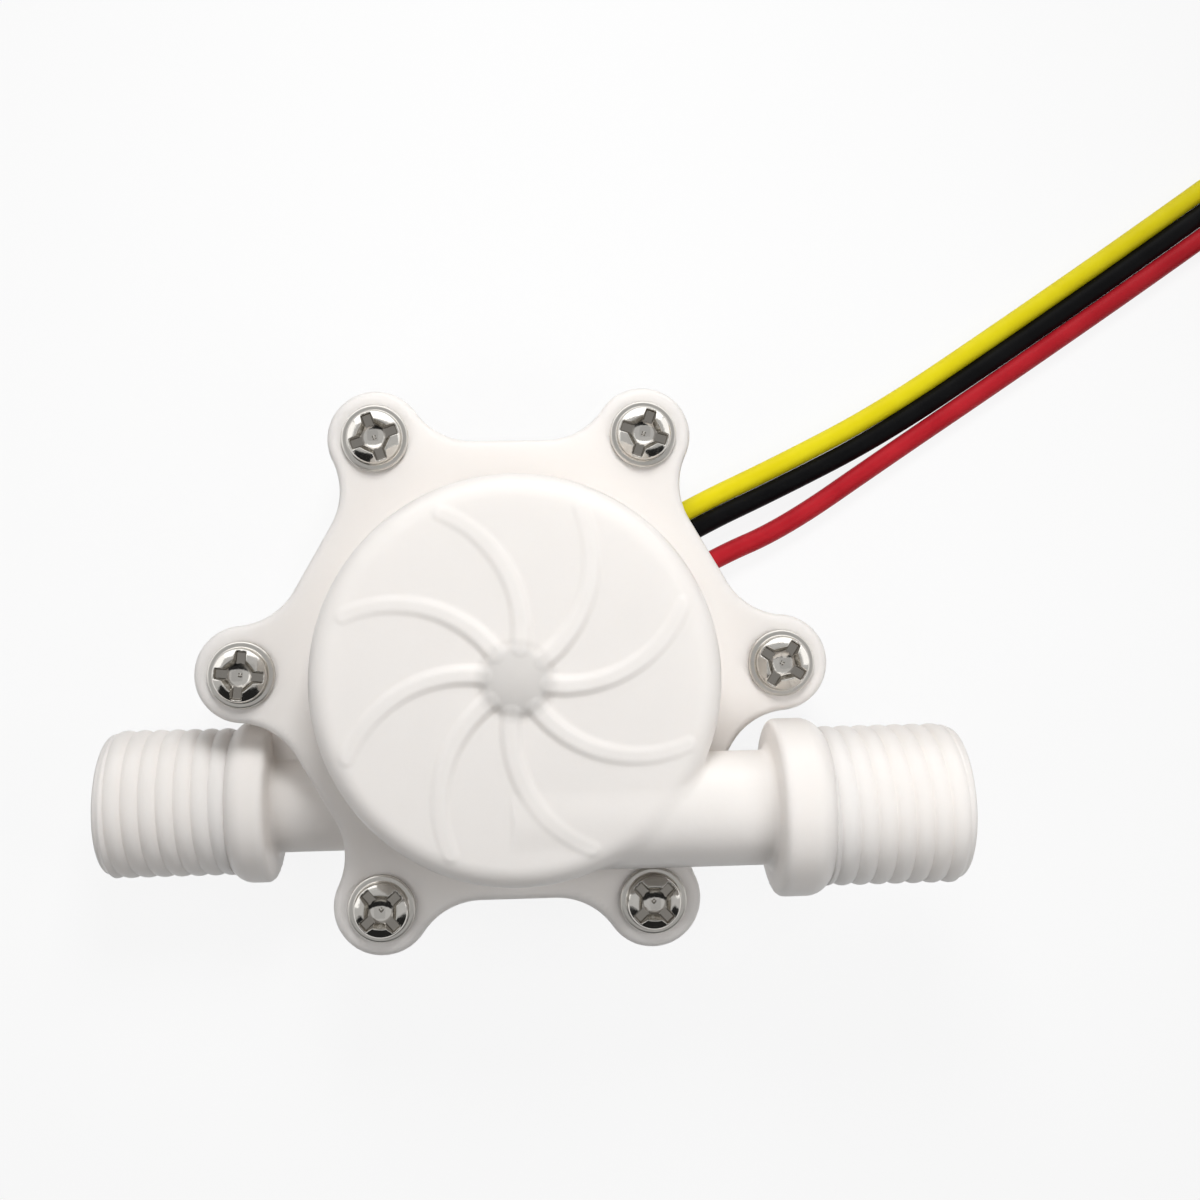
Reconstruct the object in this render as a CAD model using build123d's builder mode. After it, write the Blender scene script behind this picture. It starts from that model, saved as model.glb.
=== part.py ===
"""Water flow sensor: a two-shell moulded body with two threaded ports, a paddle rotor and a potted board.

The rotor axis is Z, the back face lies at Z = 0, and water runs along +X, in through the base and out
through the cover. All lengths are in millimetres.
"""

import os
from math import pi, radians, tan

from build123d import *

os.makedirs("parts", exist_ok=True)

# Shells
PARTING_Z = 10.5
FLANGE_THICKNESS = 2.5
FLANGE_RIM = 2.6
FLANGE_EDGE_RADIUS = 0.6
LOBE_RADIUS = 3.5
LOBE_BLEND_RADIUS = 5.0
SCREW_CIRCLE_RADIUS = 19.4
SCREW_CIRCLE_CENTRE = (-0.16, 0.45)
SCREW_COUNT = 6
BODY_RADIUS = 14.0
DOME_HEIGHT = 7.4
DOME_EDGE_RADIUS = 1.7
DOME_ROOT_RADIUS = 0.4
FOOT_CHAMFER = 0.5

# Swirl ribs and boss on the dome
BOSS_RADIUS = 2.45
BOSS_HEIGHT = 0.75
BOSS_EDGE_RADIUS = 0.6
RIB_COUNT = 8
RIB_ROOT_ANGLE = 81.4
RIB_START_RADIUS = 2.1
RIB_END_RADIUS = 12.3
RIB_SWEEP_ANGLE = 32.0
RIB_BOW = 1.85
RIB_ROOT_WIDTH = 1.25
RIB_TIP_WIDTH = 0.6
RIB_ROOT_HEIGHT = 0.5
RIB_TIP_HEIGHT = 0.12

# Water ways and threaded ports
CHAMBER_RADIUS = 12.0
CHAMBER_CLEARANCE = 0.1
PORT_Y = -9.42
PORT_MIDDLE_X = -0.12
OUTLET_RISE = 5.9
INLET_DROP = 4.2
WATERWAY_RADIUS = 2.6
MOUTH_RADIUS = 3.4
MOUTH_DEPTH = 8.0
SHANK_RADIUS = 3.95
OUTLET_COLLAR_START = 17.52
INLET_COLLAR_START = 18.08
COLLAR_RADIUS = 6.12
COLLAR_SLOPE = 0.25
COLLAR_CHAMFER = 0.5
COLLAR_EDGE_RADIUS = 0.45
COLLAR_FOOT_RADIUS = 0.5
THREAD_START = 20.95
THREAD_RADIUS = 5.5
THREAD_LENGTH = 9.75
THREAD_LEAD = 0.5

# Screw posts and screws
POST_DEPTH = 4.4
GUSSET_THICKNESS = 1.8
SCREW_RADIUS = 1.15
SCREW_LENGTH = 8.0
SCREW_HOLE_CLEARANCE = 0.15
PILOT_CLEARANCE = 0.02
PILOT_EXTRA_DEPTH = 0.4
WASHER_RADIUS = 2.4
WASHER_THICKNESS = 0.5
HEAD_RADIUS = 1.95
HEAD_SIDE = 0.45
HEAD_CROWN = 0.85

# Body seal
SEAL_RADIUS = 13.4
SEAL_WIDTH = 1.2
SEAL_HEIGHT = 1.0
SEAL_ROUNDING = 0.4
SEAL_SIDE_CLEARANCE = 0.08

# Rotor, its shaft and its washers
SHAFT_RADIUS = 1.0
SHAFT_SEAT_DEPTH = 2.2
SHAFT_SOCKET_DEPTH = 1.5
SHAFT_SEAT_CLEARANCE = 0.02
ROTOR_BORE_CLEARANCE = 0.05
THRUST_WASHER_RADIUS = 2.1
THRUST_WASHER_THICKNESS = 0.5
ROTOR_END_PLAY = 0.1
HUB_RADIUS = 2.5
BLADE_COUNT = 8
BLADE_THICKNESS = 0.9
BLADE_TIP_RADIUS = 10.8
BLADE_BOW = 1.4
BLADE_END_GAP = 0.8
MAGNET_DISC_RADIUS = 6.6
MAGNET_DISC_THICKNESS = 2.0
MAGNET_COUNT = 4
MAGNET_CIRCLE_RADIUS = 4.6
MAGNET_RADIUS = 1.5
MAGNET_THICKNESS = 1.5
MAGNET_CLEARANCE = 0.02

# Sensor pocket in the back of the base, laid out from the rotor axis towards the leads
LEAD_ANGLE = 30.0
POCKET_START_U = 2.8
POCKET_MIDDLE_V = 1.55
POCKET_WIDTH = 9.6
POCKET_DEPTH = 2.6
POCKET_CORNER_RADIUS = 1.0
POTTING_RECESS = 0.15
LEAD_FACE_U = 12.3
BOARD_START_U = 3.3
BOARD_LENGTH = 7.1
BOARD_WIDTH = 8.3
BOARD_THICKNESS = 0.6
BOARD_BOTTOM_Z = 0.5
CHIP_SIZE = (1.3, 2.9, 1.0)
CHIP_LEG_SIZE = (0.5, 0.4, 0.3)
CHIP_LEG_PITCH = 0.95
SMALL_PART_SIZE = (0.8, 1.6, 0.6)
SMALL_PART_SETBACK_U = 2.3
SMALL_PART_PITCH_V = 3.2
SOLDER_RADIUS = 0.75
SOLDER_HEIGHT = 0.8
SOLDER_TOP_RADIUS = 0.4
SOLDER_SETBACK = 1.1

# Leads
LEAD_RADIUS = 0.8
CONDUCTOR_RADIUS = 0.3
CONDUCTOR_REACH = 2.0
CONDUCTOR_LIFT = 0.05
STUB_GAP = 0.2
LEAD_EXIT_V = {"yellow": 3.85, "black": 2.2, "red": -0.7}
LEAD_STRAIGHT = 5.7
LEAD_ROUTES = {
    "yellow": [(21.9, 16.05, 1.2), (30.6, 20.4, 0.95), (41.0, 27.1, 0.85), (53.4, 35.3, 0.85),
               (64.82, 42.77, 0.85)],
    "black": [(21.9, 14.23, 1.15), (30.56, 18.48, 0.9), (41.16, 25.24, 0.85), (53.8, 33.6, 0.85),
              (65.72, 41.42, 0.85)],
    "red": [(22.05, 10.85, 1.1), (30.73, 16.56, 0.85), (41.42, 23.45, 0.85), (54.42, 32.03, 0.85),
            (66.62, 40.07, 0.85)],
}

# Coil of the spare lead, and the connector behind it
COIL_CENTRE = (70.48, 34.26)
COIL_RADIUS = 8.6
LEAD_PITCH = 1.62
COIL_HEIGHT = 4.85
COIL_LOOSENESS = 0.2
TAIL_START_Z = 2.45
CONNECTOR_PITCH = 2.5
CONNECTOR_SIZE = (9.8, 10.0, 5.7)
CONNECTOR_REAR_Y = 22.9
CONNECTOR_CAVITY = 1.8
CONTACT_SIZE = 1.6
CONTACT_LENGTH = 8.0
LATCH_SIZE = (3.2, 6.0, 0.9)
TAIL_TURN_Y = 28.5
TAIL_LANES = {"yellow": -1, "black": 0, "red": 1}

# Derived places
flange_top_z = PARTING_Z + FLANGE_THICKNESS
flange_bottom_z = PARTING_Z - FLANGE_THICKNESS
dome_top_z = flange_top_z + DOME_HEIGHT
outlet_z = PARTING_Z + OUTLET_RISE
inlet_z = PARTING_Z - INLET_DROP
chamber_top_z = outlet_z + WATERWAY_RADIUS + CHAMBER_CLEARANCE
chamber_floor_z = inlet_z - WATERWAY_RADIUS - CHAMBER_CLEARANCE
flange_apothem = BODY_RADIUS + FLANGE_RIM
collar_end = THREAD_START - COLLAR_CHAMFER
port_end = THREAD_START + THREAD_LENGTH
mouth_start = port_end - MOUTH_DEPTH
shaft_bottom_z = chamber_floor_z - SHAFT_SEAT_DEPTH
shaft_top_z = chamber_top_z + SHAFT_SOCKET_DEPTH
hub_bottom_z = chamber_floor_z + THRUST_WASHER_THICKNESS + ROTOR_END_PLAY
hub_top_z = chamber_top_z - THRUST_WASHER_THICKNESS - ROTOR_END_PLAY
head_side_z = flange_top_z + WASHER_THICKNESS + HEAD_SIDE
head_crown_radius = (HEAD_RADIUS**2 + HEAD_CROWN**2) / (2 * HEAD_CROWN)
pilot_depth = SCREW_LENGTH - FLANGE_THICKNESS + PILOT_EXTRA_DEPTH
lead_plane = Plane(origin=(0, 0, 0), x_dir=Vector(1, 0, 0).rotate(Axis.Z, LEAD_ANGLE), z_dir=(0, 0, 1))
board_top_z = BOARD_BOTTOM_Z + BOARD_THICKNESS
lead_axis_z = board_top_z + CONDUCTOR_RADIUS + CONDUCTOR_LIFT
board_end_u = BOARD_START_U + BOARD_LENGTH
stub_start_u = board_end_u + STUB_GAP
connector_middle_x = COIL_CENTRE[0] + COIL_RADIUS
connector_axis_z = CONNECTOR_SIZE[2] / 2


def finish(shape, name):
    """Labels one finished sub-part and writes it to its own file."""
    shape.label = name
    export_step(shape, f"parts/{name}.step")


def lead_point(u, v, z):
    """The point u along and v across the direction in which the leads leave."""
    return lead_plane.from_local_coords((u, v, z))


def smoothest_radii(points):
    """The largest corner radii that the runs of a route leave room for."""
    radii = []
    for before, corner, after in zip(points, points[1:], points[2:]):
        turn = (corner - before).get_angle(after - corner)
        shorter = min((corner - before).length, (after - corner).length)
        radii.append(0.45 * shorter / tan(radians(turn) / 2))
    return radii


def lead_tube(points, name):
    """A round lead swept along straight runs joined by tangent arcs."""
    radii = smoothest_radii(points)
    with BuildPart() as tube:
        with BuildLine() as route:
            FilletPolyline(*points, radius=radii)
        with BuildSketch(Plane(origin=route.line @ 0, z_dir=route.line % 0)):
            Circle(LEAD_RADIUS)
        sweep(path=route.line)
    length = route.wire().length
    print(f"{name}: corner radii {[round(r, 1) for r in radii]} mm, length {length:.2f} mm,",
          f"volume {tube.part.volume:.2f} against {pi * LEAD_RADIUS**2 * length:.2f} mm3")
    return tube.part


def port_half_section(collar_start):
    """The outline of one port from the ports' middle outwards: shank, collar and plain thread body."""
    with BuildSketch() as section:
        with BuildLine():
            Polyline(
                (0, 0),
                (0, SHANK_RADIUS),
                (collar_start, SHANK_RADIUS),
                (collar_start + COLLAR_SLOPE, COLLAR_RADIUS),
                (collar_end, COLLAR_RADIUS),
                (THREAD_START, THREAD_RADIUS),
                (port_end - THREAD_LEAD, THREAD_RADIUS),
                (port_end, THREAD_RADIUS - THREAD_LEAD),
                (port_end, 0),
                close=True,
            )
        make_face()
        fillet(
            section.vertices().filter_by_position(Axis.Y, COLLAR_RADIUS, COLLAR_RADIUS),
            COLLAR_EDGE_RADIUS,
        )
        fillet(
            section.vertices().filter_by_position(Axis.X, collar_start, collar_start),
            COLLAR_FOOT_RADIUS,
        )
    return section.sketch


# Flange outline: a hexagon with a round lobe at each corner, blended by large hollow arcs
with BuildSketch() as flange_outline:
    with Locations(SCREW_CIRCLE_CENTRE):
        RegularPolygon(flange_apothem, SCREW_COUNT, major_radius=False)
    with Locations(SCREW_CIRCLE_CENTRE):
        with PolarLocations(SCREW_CIRCLE_RADIUS, SCREW_COUNT):
            Circle(LOBE_RADIUS)
    fillet(flange_outline.vertices(), LOBE_BLEND_RADIUS)

# Water way form from the ports' middle outwards: narrow channel, then the wider mouth
with BuildSketch() as bore_half_section:
    with BuildLine():
        Polyline(
            (0, 0),
            (0, WATERWAY_RADIUS),
            (mouth_start, WATERWAY_RADIUS),
            (mouth_start + MOUTH_RADIUS - WATERWAY_RADIUS, MOUTH_RADIUS),
            (port_end + THREAD_LEAD, MOUTH_RADIUS),
            (port_end + THREAD_LEAD, 0),
            close=True,
        )
    make_face()

outlet_plane = Plane(origin=(PORT_MIDDLE_X, PORT_Y, outlet_z), x_dir=(1, 0, 0), z_dir=(0, -1, 0))
inlet_plane = Plane(origin=(PORT_MIDDLE_X, PORT_Y, inlet_z), x_dir=(-1, 0, 0), z_dir=(0, 1, 0))

# Cover: front shell with the dome, its swirl ribs and the outlet port
with BuildPart() as cover:
    with BuildSketch(Plane.XY.offset(PARTING_Z)):
        add(flange_outline.sketch)
    extrude(amount=FLANGE_THICKNESS)
    fillet(cover.faces().sort_by(Axis.Z)[-1].edges(), FLANGE_EDGE_RADIUS)
    with BuildSketch(Plane.XY.offset(flange_top_z)):
        Circle(BODY_RADIUS)
    extrude(amount=DOME_HEIGHT)
    fillet(cover.faces().sort_by(Axis.Z)[-1].edges(), DOME_EDGE_RADIUS)
    fillet(
        cover.edges()
        .filter_by(GeomType.CIRCLE)
        .filter_by(lambda edge: edge.radius == BODY_RADIUS)
        .filter_by_position(Axis.Z, flange_top_z, flange_top_z),
        DOME_ROOT_RADIUS,
    )
    with BuildSketch(outlet_plane):
        add(port_half_section(OUTLET_COLLAR_START))
    revolve(axis=Axis((0, PORT_Y, outlet_z), (1, 0, 0)))
    with BuildSketch(Plane.XY.offset(dome_top_z)):
        Circle(BOSS_RADIUS)
    extrude(amount=BOSS_HEIGHT)
    fillet(cover.faces().sort_by(Axis.Z)[-1].edges(), BOSS_EDGE_RADIUS)

# One swirl rib: a low rounded ridge on an arc, tapering from the boss to the dome's edge
with BuildPart() as swirl_rib:
    rib_start = Vector(RIB_START_RADIUS, 0).rotate(Axis.Z, RIB_ROOT_ANGLE)
    rib_end = Vector(RIB_END_RADIUS, 0).rotate(Axis.Z, RIB_ROOT_ANGLE + RIB_SWEEP_ANGLE)
    rib_chord = rib_end - rib_start
    rib_middle = (rib_start + rib_end) / 2 + rib_chord.normalized().rotate(Axis.Z, -90) * RIB_BOW
    with BuildLine() as rib_path:
        ThreePointArc(rib_start, rib_middle, rib_end)
    with BuildSketch(Plane(origin=rib_path.line @ 0, x_dir=(0, 0, 1), z_dir=rib_path.line % 0)) as rib_root:
        Ellipse(RIB_ROOT_HEIGHT, RIB_ROOT_WIDTH / 2)
    with BuildSketch(Plane(origin=rib_path.line @ 1, x_dir=(0, 0, 1), z_dir=rib_path.line % 1)) as rib_tip:
        Ellipse(RIB_TIP_HEIGHT, RIB_TIP_WIDTH / 2)
    sweep(sections=[rib_root.sketch, rib_tip.sketch], path=rib_path.line, multisection=True)

with cover:
    with Locations((0, 0, dome_top_z)):
        with PolarLocations(0, RIB_COUNT):
            add(swirl_rib.part)
    with BuildSketch(Plane.XY.offset(PARTING_Z)):
        Circle(CHAMBER_RADIUS)
    extrude(amount=chamber_top_z - PARTING_Z, mode=Mode.SUBTRACT)
    with BuildSketch(Plane.XY.offset(chamber_top_z)):
        Circle(SHAFT_RADIUS + SHAFT_SEAT_CLEARANCE)
    extrude(amount=SHAFT_SOCKET_DEPTH, mode=Mode.SUBTRACT)
    with BuildSketch(outlet_plane):
        add(bore_half_section.sketch)
    revolve(axis=Axis((0, PORT_Y, outlet_z), (1, 0, 0)), mode=Mode.SUBTRACT)
    with BuildSketch(Plane.XY.offset(PARTING_Z)):
        with Locations(SCREW_CIRCLE_CENTRE):
            with PolarLocations(SCREW_CIRCLE_RADIUS, SCREW_COUNT):
                Circle(SCREW_RADIUS + SCREW_HOLE_CLEARANCE)
    extrude(amount=FLANGE_THICKNESS, mode=Mode.SUBTRACT)
finish(cover.part, "cover")

# Base: rear shell with the chamber floor, the inlet port, screw posts and the sensor pocket
with BuildPart() as base:
    with BuildSketch():
        Circle(BODY_RADIUS)
    extrude(amount=flange_bottom_z)
    chamfer(base.faces().sort_by(Axis.Z)[0].edges(), FOOT_CHAMFER)
    with BuildSketch(Plane.XY.offset(flange_bottom_z)):
        add(flange_outline.sketch)
    extrude(amount=FLANGE_THICKNESS)
    with BuildSketch(Plane.XY.offset(flange_bottom_z)):
        with Locations(SCREW_CIRCLE_CENTRE):
            with PolarLocations(SCREW_CIRCLE_RADIUS, SCREW_COUNT):
                Circle(LOBE_RADIUS)
            with PolarLocations(SCREW_CIRCLE_RADIUS / 2, SCREW_COUNT):
                Rectangle(SCREW_CIRCLE_RADIUS, GUSSET_THICKNESS)
    extrude(amount=-POST_DEPTH)
    with BuildSketch(inlet_plane):
        add(port_half_section(INLET_COLLAR_START))
    revolve(axis=Axis((0, PORT_Y, inlet_z), (1, 0, 0)))
    with BuildSketch(Plane.XY.offset(chamber_floor_z)):
        Circle(CHAMBER_RADIUS)
    extrude(amount=PARTING_Z - chamber_floor_z, mode=Mode.SUBTRACT)
    with BuildSketch(Plane.XY.offset(shaft_bottom_z)):
        Circle(SHAFT_RADIUS + SHAFT_SEAT_CLEARANCE)
    extrude(amount=SHAFT_SEAT_DEPTH, mode=Mode.SUBTRACT)
    with BuildSketch(inlet_plane):
        add(bore_half_section.sketch)
    revolve(axis=Axis((0, PORT_Y, inlet_z), (1, 0, 0)), mode=Mode.SUBTRACT)
    with BuildSketch(Plane.XY.offset(PARTING_Z - SEAL_HEIGHT)):
        Circle(SEAL_RADIUS + SEAL_WIDTH / 2 + SEAL_SIDE_CLEARANCE)
        Circle(SEAL_RADIUS - SEAL_WIDTH / 2 - SEAL_SIDE_CLEARANCE, mode=Mode.SUBTRACT)
    extrude(amount=SEAL_HEIGHT, mode=Mode.SUBTRACT)
    with BuildSketch(Plane.XY.offset(PARTING_Z)):
        with Locations(SCREW_CIRCLE_CENTRE):
            with PolarLocations(SCREW_CIRCLE_RADIUS, SCREW_COUNT):
                Circle(SCREW_RADIUS + PILOT_CLEARANCE)
    extrude(amount=-pilot_depth, mode=Mode.SUBTRACT)
    with BuildSketch(lead_plane) as pocket_outline:
        with Locations((POCKET_START_U + BODY_RADIUS / 2, POCKET_MIDDLE_V)):
            Rectangle(BODY_RADIUS, POCKET_WIDTH)
        fillet(pocket_outline.vertices().sort_by(Axis.X)[:2], POCKET_CORNER_RADIUS)
    extrude(amount=POCKET_DEPTH, mode=Mode.SUBTRACT)
finish(base.part, "base")

# Body seal: a squeezed ring in the base's groove
with BuildPart() as body_seal:
    with BuildSketch(Plane.XZ):
        with Locations((SEAL_RADIUS, PARTING_Z - SEAL_HEIGHT / 2)):
            RectangleRounded(SEAL_WIDTH, SEAL_HEIGHT, SEAL_ROUNDING)
    revolve(axis=Axis.Z)
finish(body_seal.part, "body_seal")

# Cover screws: thread-forming screws with a pan head on a washer flange
with BuildPart() as cover_screw:
    with BuildSketch(Plane.XZ):
        with BuildLine():
            Polyline(
                (0, flange_top_z - SCREW_LENGTH),
                (SCREW_RADIUS * 0.4, flange_top_z - SCREW_LENGTH),
                (SCREW_RADIUS, flange_top_z - SCREW_LENGTH + SCREW_RADIUS),
                (SCREW_RADIUS, flange_top_z),
                (WASHER_RADIUS, flange_top_z),
                (WASHER_RADIUS, flange_top_z + WASHER_THICKNESS),
                (HEAD_RADIUS, flange_top_z + WASHER_THICKNESS),
                (HEAD_RADIUS, head_side_z),
            )
            RadiusArc((HEAD_RADIUS, head_side_z), (0, head_side_z + HEAD_CROWN), -head_crown_radius)
            Line((0, head_side_z + HEAD_CROWN), (0, flange_top_z - SCREW_LENGTH))
        make_face()
    revolve(axis=Axis.Z)
with BuildPart() as cover_screws:
    with Locations(SCREW_CIRCLE_CENTRE):
        with PolarLocations(SCREW_CIRCLE_RADIUS, SCREW_COUNT):
            add(cover_screw.part)
finish(cover_screws.part, "cover_screws")

# Rotor shaft: a steel pin held in the base's floor and in the dome's boss
with BuildPart() as rotor_shaft:
    with BuildSketch(Plane.XY.offset(shaft_bottom_z)):
        Circle(SHAFT_RADIUS)
    extrude(amount=shaft_top_z - shaft_bottom_z)
finish(rotor_shaft.part, "rotor_shaft")

# Thrust washers at the two ends of the rotor's hub
for washer_name, washer_z in (
    ("lower_thrust_washer", chamber_floor_z),
    ("upper_thrust_washer", chamber_top_z - THRUST_WASHER_THICKNESS),
):
    with BuildPart() as thrust_washer:
        with BuildSketch(Plane.XY.offset(washer_z)):
            Circle(THRUST_WASHER_RADIUS)
            Circle(SHAFT_RADIUS + SHAFT_SEAT_CLEARANCE, mode=Mode.SUBTRACT)
        extrude(amount=THRUST_WASHER_THICKNESS)
    finish(thrust_washer.part, washer_name)

# Rotor: hub, magnet disc and curved blades
with BuildSketch() as blade_outline:
    with BuildLine():
        ThreePointArc(
            (SHAFT_RADIUS + BLADE_THICKNESS, 0),
            (BLADE_TIP_RADIUS / 2, -BLADE_BOW),
            (BLADE_TIP_RADIUS, 0),
        )
    trace(line_width=BLADE_THICKNESS)
with BuildPart() as rotor:
    with BuildSketch(Plane.XY.offset(hub_bottom_z)):
        Circle(HUB_RADIUS)
    extrude(amount=hub_top_z - hub_bottom_z)
    with BuildSketch(Plane.XY.offset(hub_bottom_z)):
        Circle(MAGNET_DISC_RADIUS)
    extrude(amount=MAGNET_DISC_THICKNESS)
    with BuildSketch(Plane.XY.offset(chamber_floor_z + BLADE_END_GAP)):
        with PolarLocations(0, BLADE_COUNT):
            add(blade_outline.sketch)
    extrude(amount=chamber_top_z - chamber_floor_z - 2 * BLADE_END_GAP)
    with BuildSketch(Plane.XY.offset(hub_bottom_z)):
        Circle(SHAFT_RADIUS + ROTOR_BORE_CLEARANCE)
    extrude(amount=hub_top_z - hub_bottom_z, mode=Mode.SUBTRACT)
    with BuildSketch(Plane.XY.offset(hub_bottom_z)):
        with PolarLocations(MAGNET_CIRCLE_RADIUS, MAGNET_COUNT):
            Circle(MAGNET_RADIUS + MAGNET_CLEARANCE)
    extrude(amount=MAGNET_THICKNESS + MAGNET_CLEARANCE, mode=Mode.SUBTRACT)
finish(rotor.part, "rotor")

# Rotor magnets: small discs set in the underside of the rotor
with BuildPart() as rotor_magnets:
    with BuildSketch(Plane.XY.offset(hub_bottom_z)):
        with PolarLocations(MAGNET_CIRCLE_RADIUS, MAGNET_COUNT):
            Circle(MAGNET_RADIUS)
    extrude(amount=MAGNET_THICKNESS)
finish(rotor_magnets.part, "rotor_magnets")

# Sensor board with its parts, under the magnets' path
with BuildPart() as sensor_board:
    with BuildSketch(lead_plane.offset(BOARD_BOTTOM_Z)):
        with Locations((BOARD_START_U + BOARD_LENGTH / 2, POCKET_MIDDLE_V)):
            Rectangle(BOARD_LENGTH, BOARD_WIDTH)
    extrude(amount=BOARD_THICKNESS)
finish(sensor_board.part, "sensor_board")

chip_length, chip_width, chip_height = CHIP_SIZE
with BuildPart() as hall_chip:
    with BuildSketch(lead_plane.offset(board_top_z)):
        with Locations((MAGNET_CIRCLE_RADIUS, POCKET_MIDDLE_V)):
            Rectangle(chip_length, chip_width)
    extrude(amount=chip_height)
finish(hall_chip.part, "hall_chip")

leg_length, leg_width, leg_height = CHIP_LEG_SIZE
with BuildPart() as chip_legs:
    with BuildSketch(lead_plane.offset(board_top_z)):
        with Locations((MAGNET_CIRCLE_RADIUS + (chip_length + leg_length) / 2, POCKET_MIDDLE_V)):
            with GridLocations(0, 2 * CHIP_LEG_PITCH, 1, 2):
                Rectangle(leg_length, leg_width)
        with Locations((MAGNET_CIRCLE_RADIUS - (chip_length + leg_length) / 2, POCKET_MIDDLE_V)):
            Rectangle(leg_length, leg_width)
    extrude(amount=leg_height)
finish(chip_legs.part, "chip_legs")

small_length, small_width, small_height = SMALL_PART_SIZE
small_parts = []
for small_name, side in (("board_capacitor", 1), ("board_resistor", -1)):
    small_part_v = POCKET_MIDDLE_V + side * SMALL_PART_PITCH_V / 2
    with BuildPart() as small_part:
        with BuildSketch(lead_plane.offset(board_top_z)):
            with Locations((MAGNET_CIRCLE_RADIUS + SMALL_PART_SETBACK_U, small_part_v)):
                Rectangle(small_length, small_width)
        extrude(amount=small_height)
    finish(small_part.part, small_name)
    small_parts.append(small_part)

# Lead ends: the insulated stubs in the potting with their bare conductors on the board
with BuildPart() as lead_ends:
    for exit_v in LEAD_EXIT_V.values():
        stub_plane = Plane(origin=lead_point(stub_start_u, exit_v, lead_axis_z), z_dir=lead_plane.x_dir)
        with BuildSketch(stub_plane):
            Circle(LEAD_RADIUS)
        extrude(amount=LEAD_FACE_U - stub_start_u)
        with BuildSketch(stub_plane):
            Circle(CONDUCTOR_RADIUS)
        extrude(amount=-CONDUCTOR_REACH)
finish(lead_ends.part, "lead_ends")

# Solder joints: a tapered mound over each conductor
with BuildPart() as solder_mounds:
    for exit_v in LEAD_EXIT_V.values():
        with Locations(lead_point(board_end_u - SOLDER_SETBACK, exit_v, board_top_z)):
            Cone(
                SOLDER_RADIUS,
                SOLDER_TOP_RADIUS,
                SOLDER_HEIGHT,
                align=(Align.CENTER, Align.CENTER, Align.MIN),
            )
with BuildPart() as solder_joints:
    add(solder_mounds.part)
    add(lead_ends.part, mode=Mode.SUBTRACT)
finish(solder_joints.part, "solder_joints")

# Potting: resin that fills the pocket round the board and grips the leads
with BuildPart() as potting:
    with BuildSketch(lead_plane.offset(POTTING_RECESS)) as potting_outline:
        with Locations(((POCKET_START_U + LEAD_FACE_U) / 2, POCKET_MIDDLE_V)):
            Rectangle(LEAD_FACE_U - POCKET_START_U, POCKET_WIDTH)
        fillet(potting_outline.vertices().sort_by(Axis.X)[:2], POCKET_CORNER_RADIUS)
    extrude(amount=POCKET_DEPTH - POTTING_RECESS)
    for inner in (sensor_board, hall_chip, chip_legs, *small_parts, solder_mounds, lead_ends):
        add(inner.part, mode=Mode.SUBTRACT)
finish(potting.part, "potting")

# Coil of the spare lead: the outer shape of its turns
coil_outer_radius = COIL_RADIUS + LEAD_PITCH + LEAD_RADIUS + COIL_LOOSENESS
coil_inner_radius = COIL_RADIUS - LEAD_PITCH - LEAD_RADIUS - COIL_LOOSENESS
with BuildPart() as lead_coil:
    with BuildSketch():
        with Locations(COIL_CENTRE):
            Circle(coil_outer_radius)
            Circle(coil_inner_radius, mode=Mode.SUBTRACT)
    extrude(amount=COIL_HEIGHT)
finish(lead_coil.part, "lead_coil")

# Leads: each a tube from the potting to the coil, and a short tail from the coil to the connector
for colour, exit_v in LEAD_EXIT_V.items():
    run_in = lead_tube(
        [
            lead_point(LEAD_FACE_U, exit_v, lead_axis_z),
            lead_point(LEAD_FACE_U + LEAD_STRAIGHT, exit_v, lead_axis_z),
            *(Vector(*place) for place in LEAD_ROUTES[colour]),
        ],
        f"wire_{colour}",
    )
    lane = TAIL_LANES[colour]
    cavity_x = connector_middle_x + lane * CONNECTOR_PITCH
    tail = lead_tube(
        [
            Vector(connector_middle_x + lane * LEAD_PITCH, COIL_CENTRE[1], TAIL_START_Z),
            Vector(cavity_x, TAIL_TURN_Y, connector_axis_z),
            Vector(cavity_x, CONNECTOR_REAR_Y, connector_axis_z),
        ],
        f"wire_{colour} tail",
    )
    with BuildPart() as lead:
        add(run_in)
        add(tail)
        with BuildSketch():
            with Locations(COIL_CENTRE):
                Circle(coil_outer_radius)
        extrude(amount=COIL_HEIGHT, mode=Mode.SUBTRACT)
    finish(lead.part, f"wire_{colour}")

# Connector: crimp housing with its cavities and latch, and the crimp contacts
connector_width, connector_length, connector_height = CONNECTOR_SIZE
latch_width, latch_length, latch_height = LATCH_SIZE
rear_plane = Plane(origin=(connector_middle_x, CONNECTOR_REAR_Y, 0), x_dir=(1, 0, 0), z_dir=(0, -1, 0))
with BuildPart() as connector_housing:
    with BuildSketch(rear_plane):
        with Locations((0, (connector_height - latch_height) / 2)):
            Rectangle(connector_width, connector_height - latch_height)
        with Locations((0, connector_axis_z)):
            with GridLocations(CONNECTOR_PITCH, 0, len(TAIL_LANES), 1):
                Rectangle(CONNECTOR_CAVITY, CONNECTOR_CAVITY, mode=Mode.SUBTRACT)
    extrude(amount=connector_length)
    with BuildSketch(Plane.XY.offset(connector_height - latch_height)):
        with Locations((connector_middle_x, CONNECTOR_REAR_Y - connector_length / 2)):
            Rectangle(latch_width, latch_length)
    extrude(amount=latch_height)
finish(connector_housing.part, "connector_housing")

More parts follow.
